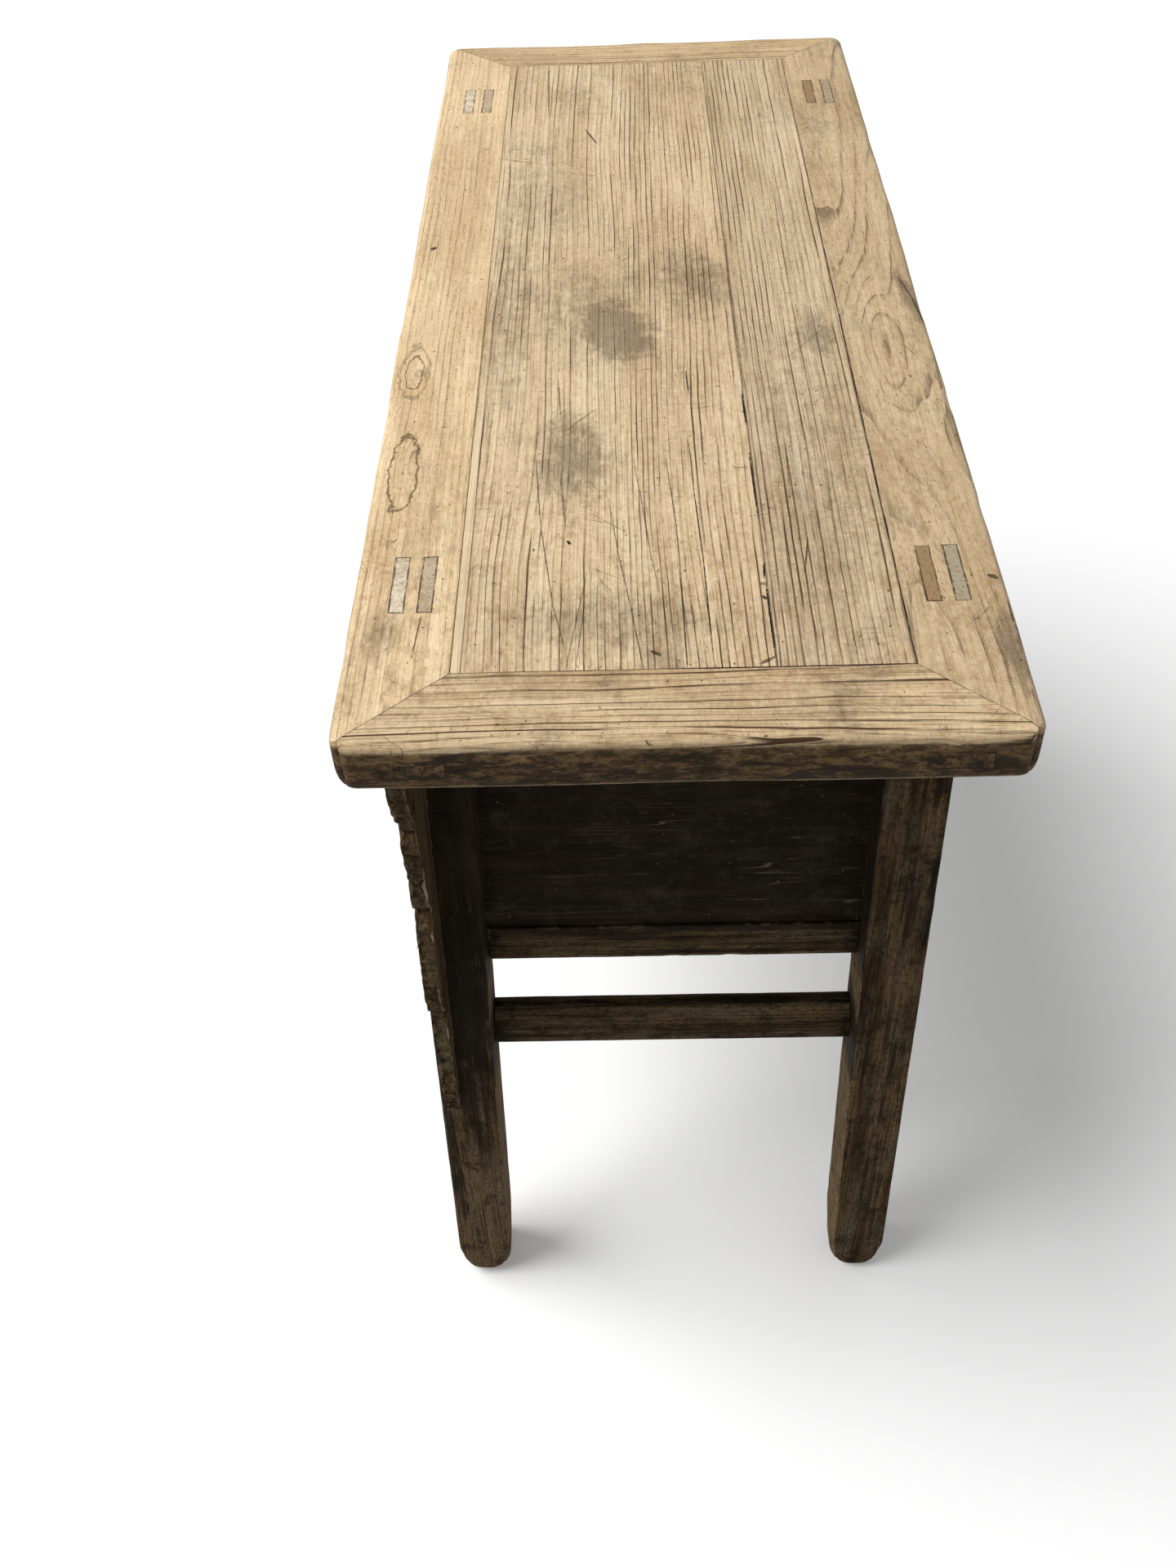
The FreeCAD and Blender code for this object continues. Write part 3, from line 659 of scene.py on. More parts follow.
class Look:
    """A material being built: its coordinates, grain and painted channels."""

    def __init__(self, name, grain_axis, seed, pith=(0.0, -0.15), spacing=4.2 * MM, waver=12 * MM,
                 bulges=(), ragged=1.0):
        self.material, n = new_material(name)
        self.n = n
        self.place = n.add("ShaderNodeTexCoord").outputs["Object"]
        self.x, self.y, self.z = n.separate(self.place)
        along = {"X": (self.x, self.y, self.z), "Y": (self.y, self.x, self.z), "Z": (self.z, self.x, self.y)}
        self.grain_place = n.combine(*along[grain_axis])
        feeds = {"Vector": self.grain_place, "Pith Y": pith[0], "Pith Z": pith[1],
                 "Spacing": spacing, "Waver": waver, "Seed": float(seed), "Ragged": ragged}
        group = n.add("ShaderNodeGroup", feeds, node_tree=WOOD_GROUP)
        if bulges:
            n.feed(group.inputs["Bulge"], self.hills(bulges))
        self.line, self.fine, self.pore, self.fibre, self.streak, self.tone = group.outputs
        # Painted channels: arris; bareness, which on the end stretchers is also a painted highlight; dirt with
        # painted shade
        painted = n.add("ShaderNodeAttribute", attribute_name="paint").outputs["Color"]
        channels = n.add("ShaderNodeSeparateColor", {0: painted}).outputs
        self.arris, self.bare, self.shade_and_dirt = channels
        self.shift = (seed * 1.31, seed * 0.77, seed * 0.41)

    def spread(self, factors, detail=3.0, rough=0.55, offset=0.0, place=None):
        """Noise in object coordinates, its own for each seed and offset, with one factor or one per axis."""
        factors = (factors,) * 3 if isinstance(factors, float) else factors
        moved = self.n.shifted(place or self.place, tuple(s + offset for s in self.shift))
        return self.n.noise(self.n.scaled(moved, factors), detail, rough)

    def along(self, lengthwise, across, detail=3.0, rough=0.55, offset=0.0):
        """Noise with one factor along the grain and one across it."""
        return self.spread((lengthwise, across, across), detail, rough, offset, self.grain_place)

    def local(self, centre, size, turn=0.0):
        """Coordinates about a centre, in units of a size."""
        rotation = (0.0, 0.0, math.radians(turn))
        feeds = {"Vector": self.place, "Location": centre, "Rotation": rotation, "Scale": size}
        return self.n.add("ShaderNodeMapping", feeds, vector_type="TEXTURE").outputs[0]

    def reach(self, x, y, size_x, size_y, turn):
        """Distance from a place on the top, 1 on the rim of a turned ellipse about it."""
        n = self.n
        cosine, sine = math.cos(turn), math.sin(turn)
        across = n.math("MULTIPLY_ADD", self.y, sine / size_x, -(x * cosine + y * sine) / size_x)
        across = n.math("MULTIPLY_ADD", self.x, cosine / size_x, across)
        down = n.math("MULTIPLY_ADD", self.y, cosine / size_y, (x * sine - y * cosine) / size_y)
        down = n.math("MULTIPLY_ADD", self.x, -sine / size_y, down)
        return n.math("SQRT", n.math("MULTIPLY_ADD", across, across, n.times(down, down)))

    def marks(self, rows, rough, profile):
        """Marks on the top, each an ellipse and an amount. Noise breaks their rims, and profile fades them."""
        n = self.n
        total = 0.0
        for *ellipse, amount in rows:
            total = n.highest(total, n.rise(*profile(n.plus(self.reach(*ellipse), rough)), amount))
        return total

    def spots(self, rows):
        """Ragged patches, from rows of (x, y, size_x, size_y, turn in degrees, amount)."""
        ellipses = [(*row[:4], math.radians(row[4]), row[5]) for row in rows]
        rough = self.n.swing(self.spread(60.0, 4.0, 0.65), 1.6)
        return self.marks(ellipses, rough, lambda reach: (reach, 1.8, 0.2))

    def hills(self, rows):
        """Smooth round patches from rows of (centre, size, amount)."""
        n = self.n
        total = 0.0
        for centre, size, amount in rows:
            local = self.local(centre, size)
            square = n.vector_math("DOT_PRODUCT", local, local)["Value"]
            total = n.plus(total, n.times(n.math("EXPONENT", n.times(square, -1.0)), amount))
        return total

    def strokes(self, rows):
        """Ragged cracks and scratches, from rows of (x, y, to_x, to_y, width in mm, amount)."""
        ellipses = []
        for x, y, to_x, to_y, width, amount in rows:
            half = math.hypot(to_x - x, to_y - y) / 2
            turn = math.atan2(to_y - y, to_x - x)
            ellipses.append(((x + to_x) / 2, (y + to_y) / 2, 1.15 * half, 0.75 * width * MM, turn, amount))
        rough = self.n.swing(self.spread(260.0, 3.0, 0.65, 19.0), 1.3)
        return self.marks(ellipses, rough, lambda reach: (reach, 1.25, 0.75))

    def ovals(self, rows):
        """Thin ragged outlines of knots, from rows of (x, y, size_x, size_y, turn, amount)."""
        n = self.n
        rough = n.swing(self.spread(90.0, 3.0, 0.65, 16.0), 0.9)
        return self.marks(rows, rough, lambda reach: (n.abs(n.minus(reach, 1.0)), 0.11, 0.02))

    def scuffs(self):
        """Long light scratches along the grain, short ones across it, and pale specks."""
        n = self.n
        total = n.rise(self.spread(190.0, 2.0, 0.5, 51.0), 0.71, 0.77)
        kinds = ((2.2, 75.0, 0.50, 1.0), (3.2, 130.0, 0.52, 0.8), (75.0, 12.0, 0.60, 0.5))
        for index, (lengthwise, across, sparse, amount) in enumerate(kinds):
            value = self.along(lengthwise, across, 1.0, 0.5, 60.0 + index)
            line = n.rise(n.abs(n.minus(value, 0.5)), 0.006, 0.001)
            where = n.rise(self.spread(10.0, 4.0, 0.65, 70.0 + index), sparse, sparse + 0.1, amount)
            total = n.highest(total, n.times(line, where))
        haze = n.rise(self.spread(35.0, 6.0, 0.78, 80.0), 0.48, 0.78, 0.35)
        return n.highest(total, haze)

    def scratches(self, turns):
        """Thin broken lines on the top, near each of the turns."""
        n = self.n
        total = 0.0
        for index, turn in enumerate(turns):
            local = self.local((0.3 * index, 0.0, 0.0), (1.0, 1.0, 1.0), turn)
            value = n.noise(n.scaled(local, (5.0, 120.0, 5.0)), 1.0)
            thin = n.rise(n.abs(n.minus(value, 0.5)), 0.006, 0.0)
            where = n.rise(self.spread(14.0, 2.0, 0.6, 20.0 + turn), 0.6, 0.68)
            total = n.highest(total, n.times(thin, where))
        return total

    def box_gap(self, first, second, centre, half):
        """Distance outside a rectangle, negative inside it, across two coordinates."""
        n = self.n
        return n.highest(*(n.minus(n.abs(n.minus(value, middle)), reach)
                           for value, middle, reach in zip((first, second), centre, half)))

    def joint_lines(self):
        """Dark lines of the top's joints: round boards and tenons, at the mitres and along the seam."""
        n = self.n
        x = n.abs(self.x)
        y = n.abs(self.y)

        def line(gap, width):
            return n.rise(n.abs(gap), width, 0.25 * width)

        inner = self.box_gap(x, y, (0.0, 0.0), (INNER_X, INNER_Y))
        outside = n.math("GREATER_THAN", inner, 0.0)
        slope = (HALF_DEPTH - INNER_Y) / (HALF_LENGTH - INNER_X)
        mitre = n.minus(n.times(n.minus(x, INNER_X), slope), n.minus(y, INNER_Y))
        seen = n.times(n.rise(self.y, -0.02, 0.02, 1.0, 0.35), n.rise(self.x, -0.47, 0.1, 1.0, 0.4))
        around = n.times(line(inner, 0.9 * MM), seen)
        total = n.highest(around, n.times(line(mitre, 0.8 * MM), n.times(outside, 0.6)))
        broken = n.rise(self.spread(110.0, 3.0, 0.6, 33.0), 0.36, 0.52, 0.9, 0.15)
        within = n.math("LESS_THAN", inner, 0.0)
        total = n.highest(total, n.times(line(n.minus(self.y, SEAM_Y), 0.7 * MM), n.times(within, 0.8)))
        for inset in TENON_INSETS:
            tenon = self.box_gap(x, y, (LEG_X, HALF_DEPTH - inset), (LEG_HALF, TENON_HALF))
            total = n.highest(total, n.times(line(tenon, 0.9 * MM), broken))
        on_top = n.rise(self.z, TOP - 6 * MM, TOP - 4 * MM)
        through_y = INNER_Y + THROUGH_HALF[0]
        through = self.box_gap(y, self.z, (through_y, THROUGH_Z), THROUGH_HALF)
        at_end = n.rise(x, HALF_LENGTH - 9 * MM, HALF_LENGTH - 6 * MM)
        ends = n.times(line(through, 0.8 * MM), n.times(at_end, n.math("SUBTRACT", broken, on_top, clamp=True)))
        varied = n.rise(self.spread(50.0, 3.0, 0.6, 31.0), 0.3, 0.55, 1.0, 0.35)
        return n.times(n.highest(n.times(total, on_top), ends), varied)

    def finish(self, colour, rough, height, depth, specular):
        self.n.surface(colour, rough, height, depth, 0.7, {"Specular IOR Level": specular})
        return self.material


def elm(name, grain_axis, seed, stains=(), strokes=(), pale_strokes=(), tint=(1.0, 1.0, 1.0), grime=0.5,
        lines=1.0, strip=False, ovals=(), **grain):
    """Bleached elm of the top, with residue of the old finish on its edges.

    Grime is how far the haze goes, lines how dark the grain is, and strip a pale band beside the front member.
    """
    look = Look(name, grain_axis, seed, **grain)
    n = look.n
    # Clean wood: pale early wood, browner bands, fibres and fine grit
    colour = n.mix(n.rise(look.streak, 0.3, 0.7), ELM_LIGHT, ELM_TAN)
    colour = n.mix(n.rise(look.along(5.0, 16.0, 4.0, 0.6, 1.0), 0.42, 0.68, 0.4), colour, ELM_BROWN)
    colour = n.mix(n.rise(look.fibre, 0.45, 0.75, 0.45), colour, ELM_BROWN)
    colour = n.mix(n.times(look.tone, 0.2), colour, ELM_BROWN)
    grit = look.spread((240.0, 330.0, 330.0), 5.0, 0.75, 23.0)
    colour = n.mix(n.rise(grit, 0.50, 0.72, 0.45), colour, ELM_BROWN)
    colour = n.mix(n.rise(grit, 0.48, 0.32, 0.6), colour, ELM_PALE)
    colour = n.mix(1.0, colour, (*tint, 1.0), "MULTIPLY")
    rubbing = n.rise(look.spread((60.0, 90.0, 90.0), 6.0, 0.78, 47.0), 0.50, 0.64, 0.42)
    colour = n.mix(n.times(rubbing, n.rise(look.x, 0.05, 0.42, 1.2, 0.4)), colour, ELM_BROWN)
    # Grey haze where the top is stained, broken up along and across the grain
    patches = n.rise(look.spread((7.0, 11.0, 11.0), 5.0, 0.65, 7.0), 0.44, 0.74, grime)
    if stains:
        patches = n.highest(patches, look.spots(stains))
    blotch = look.spread((75.0, 95.0, 95.0), 6.0, 0.72, 3.0)
    fleck = look.along(110.0, 330.0, 4.0, 0.7, 43.0)
    haze = n.plus(patches, n.swing(blotch, 1.3), n.swing(look.streak, 0.5))
    haze = n.plus(haze, n.swing(fleck, n.times(patches, 1.6)))
    haze = n.times(n.rise(haze, 0.08, 1.15), 0.74)
    colour = n.mix(haze, colour, n.mix(1.0, colour, STAIN, "MULTIPLY"))
    # Grain lines, pores, pits, scratches and joints
    clear = n.rise(look.along(6.0, 26.0, 3.0, 0.6, 41.0), 0.36, 0.6, 1.0, 0.45)
    colour = n.mix(n.times(look.fine, 0.5 * lines), colour, ELM_LINE)
    colour = n.mix(n.times(look.pore, 0.45), colour, ELM_LINE)
    strong = n.math("MULTIPLY", look.line, 2.2, clamp=True)
    colour = n.mix(n.times(strong, n.times(clear, lines)), colour, ELM_LINE)
    specks = n.rise(look.spread((230.0, 300.0, 300.0), 2.0, 0.5, 13.0), 0.69, 0.76, 0.8)
    marks = n.highest(specks, n.times(look.scratches((24.0, -38.0, 71.0, 93.0)), 0.55))
    colour = n.mix(marks, colour, ELM_LINE)
    if strip:
        gap = n.minus(look.y, 3.2 * MM - INNER_Y)
        seen = n.rise(look.x, 0.08, 0.28, 1.0, 0.1)
        pale = n.rise(n.abs(gap), 3.0 * MM, 2.4 * MM, 0.55)
        colour = n.mix(n.times(pale, seen), colour, ELM_LIGHT)
        edge = n.rise(n.abs(n.minus(n.abs(gap), 3.2 * MM)), 0.7 * MM, 0.2 * MM, 0.6)
        colour = n.mix(n.times(edge, seen), colour, ELM_LINE)
    if pale_strokes:
        colour = n.mix(look.strokes(pale_strokes), colour, ELM_GREY_PALE)
    if ovals:
        colour = n.mix(look.ovals(ovals), colour, ELM_LINE)
    joints = look.joint_lines()
    dark = n.highest(joints, look.strokes(strokes)) if strokes else joints
    # Sides: brown and mottled, with black residue along the grain and a rubbed arris
    mottle = look.along(55.0, 150.0, 6.0, 0.75, 11.0)
    side_wood = n.mix(n.rise(mottle, 0.42, 0.56), SIDE_BROWN, WOOD_DARK)
    upper = n.rise(look.z, UNDERSIDE + 8 * MM, TOP - 10 * MM)
    pale = n.rise(look.along(30.0, 110.0, 5.0, 0.7, 14.0), 0.52, 0.62, 0.55)
    side_wood = n.mix(n.times(pale, upper), side_wood, ELM_BROWN)
    black = n.plus(look.along(20.0, 75.0, 6.0, 0.72, 12.0), n.times(upper, -0.06))
    side_wood = n.mix(n.rise(black, 0.46, 0.54, 0.85), side_wood, RESIDUE)
    side_wood = n.mix(n.rise(grit, 0.5, 0.62, 0.6), side_wood, RESIDUE)
    lip = n.rise(look.z, UNDERSIDE + 4 * MM, UNDERSIDE + 2 * MM, 0.7)
    side_wood = n.mix(n.times(lip, n.rise(mottle, 0.62, 0.45)), side_wood, WORN_PALE)
    broken = look.spread((80.0, 80.0, 120.0), 5.0, 0.68, 17.0)
    bare_edge = n.times(look.arris, n.rise(broken, 0.3, 0.55))
    broad = look.along(14.0, 50.0, 4.0, 0.65, 18.0)
    ragged = n.plus(n.swing(broken, 1.3), n.swing(broad, 1.3))
    covered = n.rise(n.plus(look.bare, ragged), 0.3, 0.62)
    covered = n.times(covered, n.math("SUBTRACT", 1.0, n.times(bare_edge, 0.7)))
    colour = n.mix(covered, colour, side_wood)
    colour = n.mix(dark, colour, RESIDUE)
    height = n.minus(n.times(look.fibre, 0.3), n.times(look.line, 1.2 * lines))
    height = n.minus(height, n.plus(n.times(look.pore, 0.5), n.times(look.fine, 0.35)))
    height = n.minus(height, n.plus(n.times(n.highest(joints, marks), 1.6), n.times(grit, 0.5)))
    return look.finish(colour, n.rise(look.fibre, 0.2, 0.8, 0.85, 0.62), height, 0.5 * MM, 0.12)


def aged(name, grain_axis, seed, coat, tenons=None, patches=(), dusty=0.2, scuffs=0.0, greyer=None, **grain):
    """Brown wood under a thin black coat, worn away along the grain, on arrises and in patches.

    Tenons are the colours of its outer and inner tenon ends. Greyer is where in Y the coat turns grey.
    """
    grain.setdefault("spacing", 3.4 * MM)
    look = Look(name, grain_axis, seed, **grain)
    n = look.n
    grit = look.along(230.0, 420.0, 5.0, 0.75, 23.0)
    wood = n.mix(n.rise(look.streak, 0.32, 0.66), WOOD_BROWN, WOOD_DARK)
    wood = n.mix(n.rise(look.along(9.0, 60.0, 4.0, 0.6, 15.0), 0.45, 0.65, 0.7), wood, WOOD_GREY)
    # Bare wood shows pale; on the end stretchers this is also a painted highlight
    wood = n.mix(n.rise(look.bare, 0.45, 0.8, 0.85), wood, INNER_PALE)
    knots = look.hills(patches)
    if patches:
        wood = n.mix(n.times(knots, 0.5), wood, INNER_PALE)
    wood = n.mix(n.rise(look.fibre, 0.42, 0.70, 0.6), wood, WOOD_DARK)
    wood = n.mix(n.times(look.line, 0.75), wood, RESIDUE)
    wood = n.mix(n.times(look.fine, 0.35), wood, RESIDUE)
    wood = n.mix(n.rise(grit, 0.46, 0.66, 0.75), wood, RESIDUE)
    smear = look.spread(48.0, 5.0, 0.7, 26.0)
    wood = n.mix(n.rise(smear, 0.5, 0.64, 0.6), wood, RESIDUE)
    # How much of the coat is left, with more of it where shade is painted
    broad = look.along(4.5, 30.0, 6.0, 0.68, 5.0)
    patchy = look.along(34.0, 130.0, 6.0, 0.78, 8.0)
    cover = n.plus(n.times(broad, 0.55), n.times(patchy, 0.45))
    cover = n.plus(cover, n.swing(look.fibre, 0.3))
    cover = n.plus(cover, n.swing(look.streak, 0.25))
    # The black coat is thicker where shade is painted, and thinner where bare or painted highlight
    cover = n.plus(cover, n.minus(n.times(look.shade_and_dirt, 0.22), n.times(look.bare, 0.26)))
    cover = n.minus(cover, n.times(look.arris, 0.06))
    if patches:
        cover = n.minus(cover, n.times(knots, 0.4))
    left = n.rise(n.plus(cover, coat - 0.5), 0.42, 0.56, 0.94)
    greyness = n.rise(look.along(30.0, 90.0, 5.0, 0.7, 29.0), 0.42, 0.66)
    if greyer:
        greyness = n.times(greyness, n.rise(look.y, *greyer, 1.0, 0.35))
    black = n.mix(greyness, COAT, COAT_GREY)
    black = n.mix(n.rise(grit, 0.52, 0.72, 0.55), black, WOOD_DARK)
    thinned = n.plus(look.along(9.0, 70.0, 5.0, 0.7, 36.0), n.swing(look.fibre, 0.4))
    black = n.mix(n.rise(thinned, 0.5, 0.66, 0.36), black, WOOD_DARK)
    colour = n.mix(left, wood, black)
    # Dust, scratches and rubbed arrises
    dust = n.rise(look.spread(150.0, 5.0, 0.75, 6.0), 0.56, 0.74, dusty)
    colour = n.mix(dust, colour, DUST)
    thin = look.along(8.0, 240.0, 1.0, 0.5, 9.0)
    scratch = n.rise(n.abs(n.minus(thin, 0.5)), 0.010, 0.0)
    where = n.rise(look.spread(18.0, 3.0, 0.6, 4.0), 0.52, 0.64, 0.5)
    colour = n.mix(n.times(scratch, where), colour, WOOD_BROWN)
    if scuffs:
        colour = n.mix(n.times(look.scuffs(), scuffs), colour, SCUFF)
    # Rubbed arrises, held back where shade is painted
    broken = n.rise(look.spread(60.0, 4.0, 0.65, 2.0), 0.42, 0.62)
    rub = n.rise(n.times(look.arris, broken), 0.3, 0.85, 0.6)
    colour = n.mix(n.times(rub, n.math("MULTIPLY_ADD", look.shade_and_dirt, -0.7, 1.0)), colour, WORN_PALE)
    if tenons:
        outer, inner = tenons
        on_top = n.rise(look.z, TOP - 4 * MM, TOP - 3 * MM)
        further_in = n.math("LESS_THAN", n.abs(look.y), HALF_DEPTH - sum(TENON_INSETS) / 2)
        ends = n.mix(further_in, outer, inner)
        worn = look.spread((150.0, 90.0, 60.0), 4.0, 0.7, 38.0)
        ends = n.mix(n.rise(worn, 0.44, 0.60, 0.45), ends, ELM_BROWN)
        speck = look.spread((330.0, 420.0, 60.0), 4.0, 0.7, 37.0)
        ends = n.mix(n.rise(speck, 0.50, 0.70, 0.5), ends, ELM_LINE)
        colour = n.mix(on_top, colour, ends)
        colour = n.mix(look.joint_lines(), colour, RESIDUE)
    height = n.minus(n.times(look.fibre, 0.35), n.plus(n.times(look.line, 0.8), n.times(look.fine, 0.3)))
    height = n.plus(height, n.minus(n.times(left, 0.35), n.times(grit, 0.5)))
    return look.finish(colour, n.rise(left, 0.0, 1.0, 0.68, 0.85), height, 0.4 * MM, 0.03)


def bare(name, grain_axis, seed):
    """Unfinished wood inside and underneath, dusty and browned."""
    look = Look(name, grain_axis, seed)
    n = look.n
    colour = n.mix(n.rise(look.streak, 0.3, 0.7), BARE_TAN, BARE_DARK)
    colour = n.mix(n.rise(look.fibre, 0.3, 0.75, 0.45), colour, BARE_DARK)
    colour = n.mix(n.times(look.line, 0.8), colour, WOOD_DARK)
    dust = n.rise(look.spread(20.0, 5.0, 0.65), 0.5, 0.75, 0.5)
    colour = n.mix(dust, colour, ELM_GREY)
    height = n.minus(n.times(look.fibre, 0.3), n.times(look.line, 0.7))
    return look.finish(colour, n.rise(look.fibre, 0.2, 0.8, 0.9, 0.7), height, 0.3 * MM, 0.2)


def brass(name, seed):
    """Dull brass, dark and bright in clouds of noise, and rougher where darker."""
    material, n = new_material(name)
    place = n.shifted(n.add("ShaderNodeTexCoord").outputs["Object"], (seed, seed, seed))
    cloud = n.noise(n.scaled(place, (90.0, 90.0, 90.0)), 5.0, 0.65)
    fine = n.noise(n.scaled(place, (700.0, 700.0, 700.0)), 3.0, 0.6)
    share = n.rise(n.plus(cloud, n.times(fine, 0.25)), 0.5, 0.78)
    colour = n.mix(share, BRASS_BRIGHT, BRASS_DARK)
    rough = n.rise(share, 0, 1, 0.62, 0.34)
    n.surface(colour, rough, n.plus(cloud, fine), 0.25 * MM, 0.5, {"Metallic": 0.9})
    return material


def metres(rows):
    """Rows whose first four numbers are given in tenths of a millimetre."""
    return tuple((*(value / 10000 for value in row[:4]), *row[4:]) for row in rows)


# Stains on the top, as (x, y, size_x, size_y, turn in degrees, amount)
BOARD_STAINS = metres((
    (720, -360, 460, 260, 14.0, 1.5), (400, -560, 900, 500, 10.0, 0.62), (100, -1100, 320, 170, 0.0, 0.7),
    (2480, -680, 500, 240, 0.0, 1.0), (4300, -400, 320, 700, 0.0, 0.7), (-100, 300, 550, 280, 20.0, 0.8),
    (-1600, -1000, 900, 450, 0.0, 0.55), (200, -1200, 1600, 200, 0.0, 0.6),
))
BACK_BOARD_STAINS = metres((
    (2500, 960, 2600, 500, 0.0, 0.45), (880, 1180, 340, 160, 0.0, 0.9),
))
LEFT_STAINS = metres((
    (4400, -1850, 240, 120, 0.0, 0.8), (3600, -1600, 700, 200, 0.0, 0.4),
))
RIGHT_STAINS = metres((
    (4650, 1985, 340, 80, 0.0, 1.2), (300, 1980, 500, 70, 8.0, 1.1),
))
# Cracks and scratches, as (x, y, to_x, to_y, width in mm, amount)
BOARD_STROKES = metres((
    (2654, 440, 2658, 536, 0.5, 0.8), (3225, 513, 3219, 573, 0.5, 0.7), (2988, 12, 2991, 95, 0.4, 0.6),
    (3831, -574, 4757, -697, 0.45, 0.7), (4131, -583, 4759, -638, 0.45, 0.7),
    (3163, -544, 3385, -302, 0.4, 0.6), (3764, -527, 3873, -366, 0.4, 0.6), (2731, -753, 3258, -718, 1.2, 0.5),
    (3459, -699, 3496, -682, 1.6, 1.0), (4594, -177, 4634, -125, 2.0, 0.8), (4728, 470, 4669, 555, 1.9, 0.75),
    (3956, 518, 3958, 559, 2.0, 0.6), (4081, 529, 4114, 547, 1.6, 0.9), (2365, 143, 2917, 153, 0.55, 0.9),
    (2878, 149, 3740, 179, 0.65, 0.95), (3688, 176, 4514, 190, 0.6, 0.95), (2512, -28, 3251, 14, 0.5, 0.8),
    (3214, 15, 3862, 28, 0.5, 0.8), (3820, 24, 4766, 32, 0.65, 0.9), (2502, -255, 2969, -213, 0.45, 0.6),
    (2930, -212, 3640, -158, 0.5, 0.8), (3614, -158, 3966, -120, 0.45, 0.6),
    (3046, -424, 3702, -359, 0.45, 0.7), (3667, -359, 4302, -280, 0.45, 0.8),
    (4270, -285, 4757, -230, 0.55, 0.85), (2471, -935, 3298, -879, 0.55, 0.8),
    (3279, -880, 4140, -782, 0.5, 0.8), (4107, -787, 4568, -699, 0.5, 0.7), (1370, 161, 1660, 167, 0.8, 0.9),
    (1497, -791, 1894, -772, 0.9, 0.7), (-3094, -604, -2806, -511, 1.4, 0.8), (1677, 556, 2118, 561, 1.1, 1.0),
    (2536, 556, 3190, 563, 1.0, 1.0), (3754, 563, 3889, 553, 1.0, 1.0), (4024, 558, 4626, 562, 1.0, 1.0),
    (-100, 557, 900, 562, 0.6, 0.7),
))
BACK_BOARD_STROKES = metres((
    (3219, 573, 3212, 633, 0.5, 0.7), (3512, 863, 3824, 818, 0.8, 0.8), (3807, 819, 4229, 814, 0.6, 0.8),
    (4213, 816, 4575, 829, 0.5, 0.7), (2396, 816, 2847, 800, 0.6, 0.8), (2842, 684, 2847, 778, 0.5, 0.6),
    (3317, 726, 3846, 712, 0.5, 0.7), (2561, 1073, 3330, 1057, 0.6, 0.6),
))
BACK_BOARD_PALE = metres((
    (1694, 865, 2346, 872, 1.4, 0.6), (2304, 870, 3138, 877, 1.6, 0.7),
))
LEFT_STROKES = metres((
    (4216, -1603, 4568, -1625, 0.7, 0.8), (3432, -1849, 3396, -1826, 0.6, 0.8),
    (-766, -1905, -734, -1875, 4.2, 0.9),
))
# Outlines of knots, as (x, y, size_x, size_y, turn, amount)
LEFT_OVALS = metres((
    (2620, -1855, 450, 100, 0.0, 0.75), (1285, -1885, 240, 68, 0.0, 0.75), (1285, -1885, 380, 110, 0.0, 0.4),
))
# A crack at the far end of the front board
FAR_STROKES = metres((
    (-4713, -1141, -4702, -997, 1.0, 0.5), (-4702, -997, -3569, -973, 1.3, 0.6),
))
RIGHT_STROKES = metres((
    (3926, 1955, 3945, 2013, 3.0, 0.8), (4185, 2034, 4384, 2032, 0.9, 0.8), (4384, 2032, 4579, 2073, 0.8, 0.8),
    (-3, 1932, 341, 2000, 1.6, 0.6), (300, 1993, 644, 2033, 1.8, 0.7),
))
# Knots and figure that bend the grain, as (centre, size, height)
LEFT_FIGURE = (
    ((0.129, -0.1887, TOP), (0.018, 0.007, 0.05), 0.010),
    ((0.250, -0.183, TOP), (0.034, 0.009, 0.05), 0.010),
)
RIGHT_FIGURE = (((0.110, 0.168, TOP), (0.110, 0.020, 0.06), 0.014),)
BOARD_FIGURE = (
    ((0.380, -0.110, TOP), (0.110, 0.030, 0.08), 0.006),
    ((0.250, 0.010, TOP), (0.160, 0.030, 0.08), 0.006),
)
# Worn patches round the knots of the back right leg
LEG_PATCHES = (
    ((LEG_X + LEG_HALF, 0.184, 0.648), (0.05, 0.012, 0.024), 0.8),
    ((LEG_X + LEG_HALF, 0.185, 0.474), (0.05, 0.012, 0.030), 0.8),
)
LEG_FIGURE = (
    ((LEG_X + LEG_HALF, 0.192, 0.656), (0.05, 0.014, 0.026), 0.030),
    ((LEG_X + LEG_HALF, 0.184, 0.478), (0.05, 0.010, 0.022), 0.026),
)

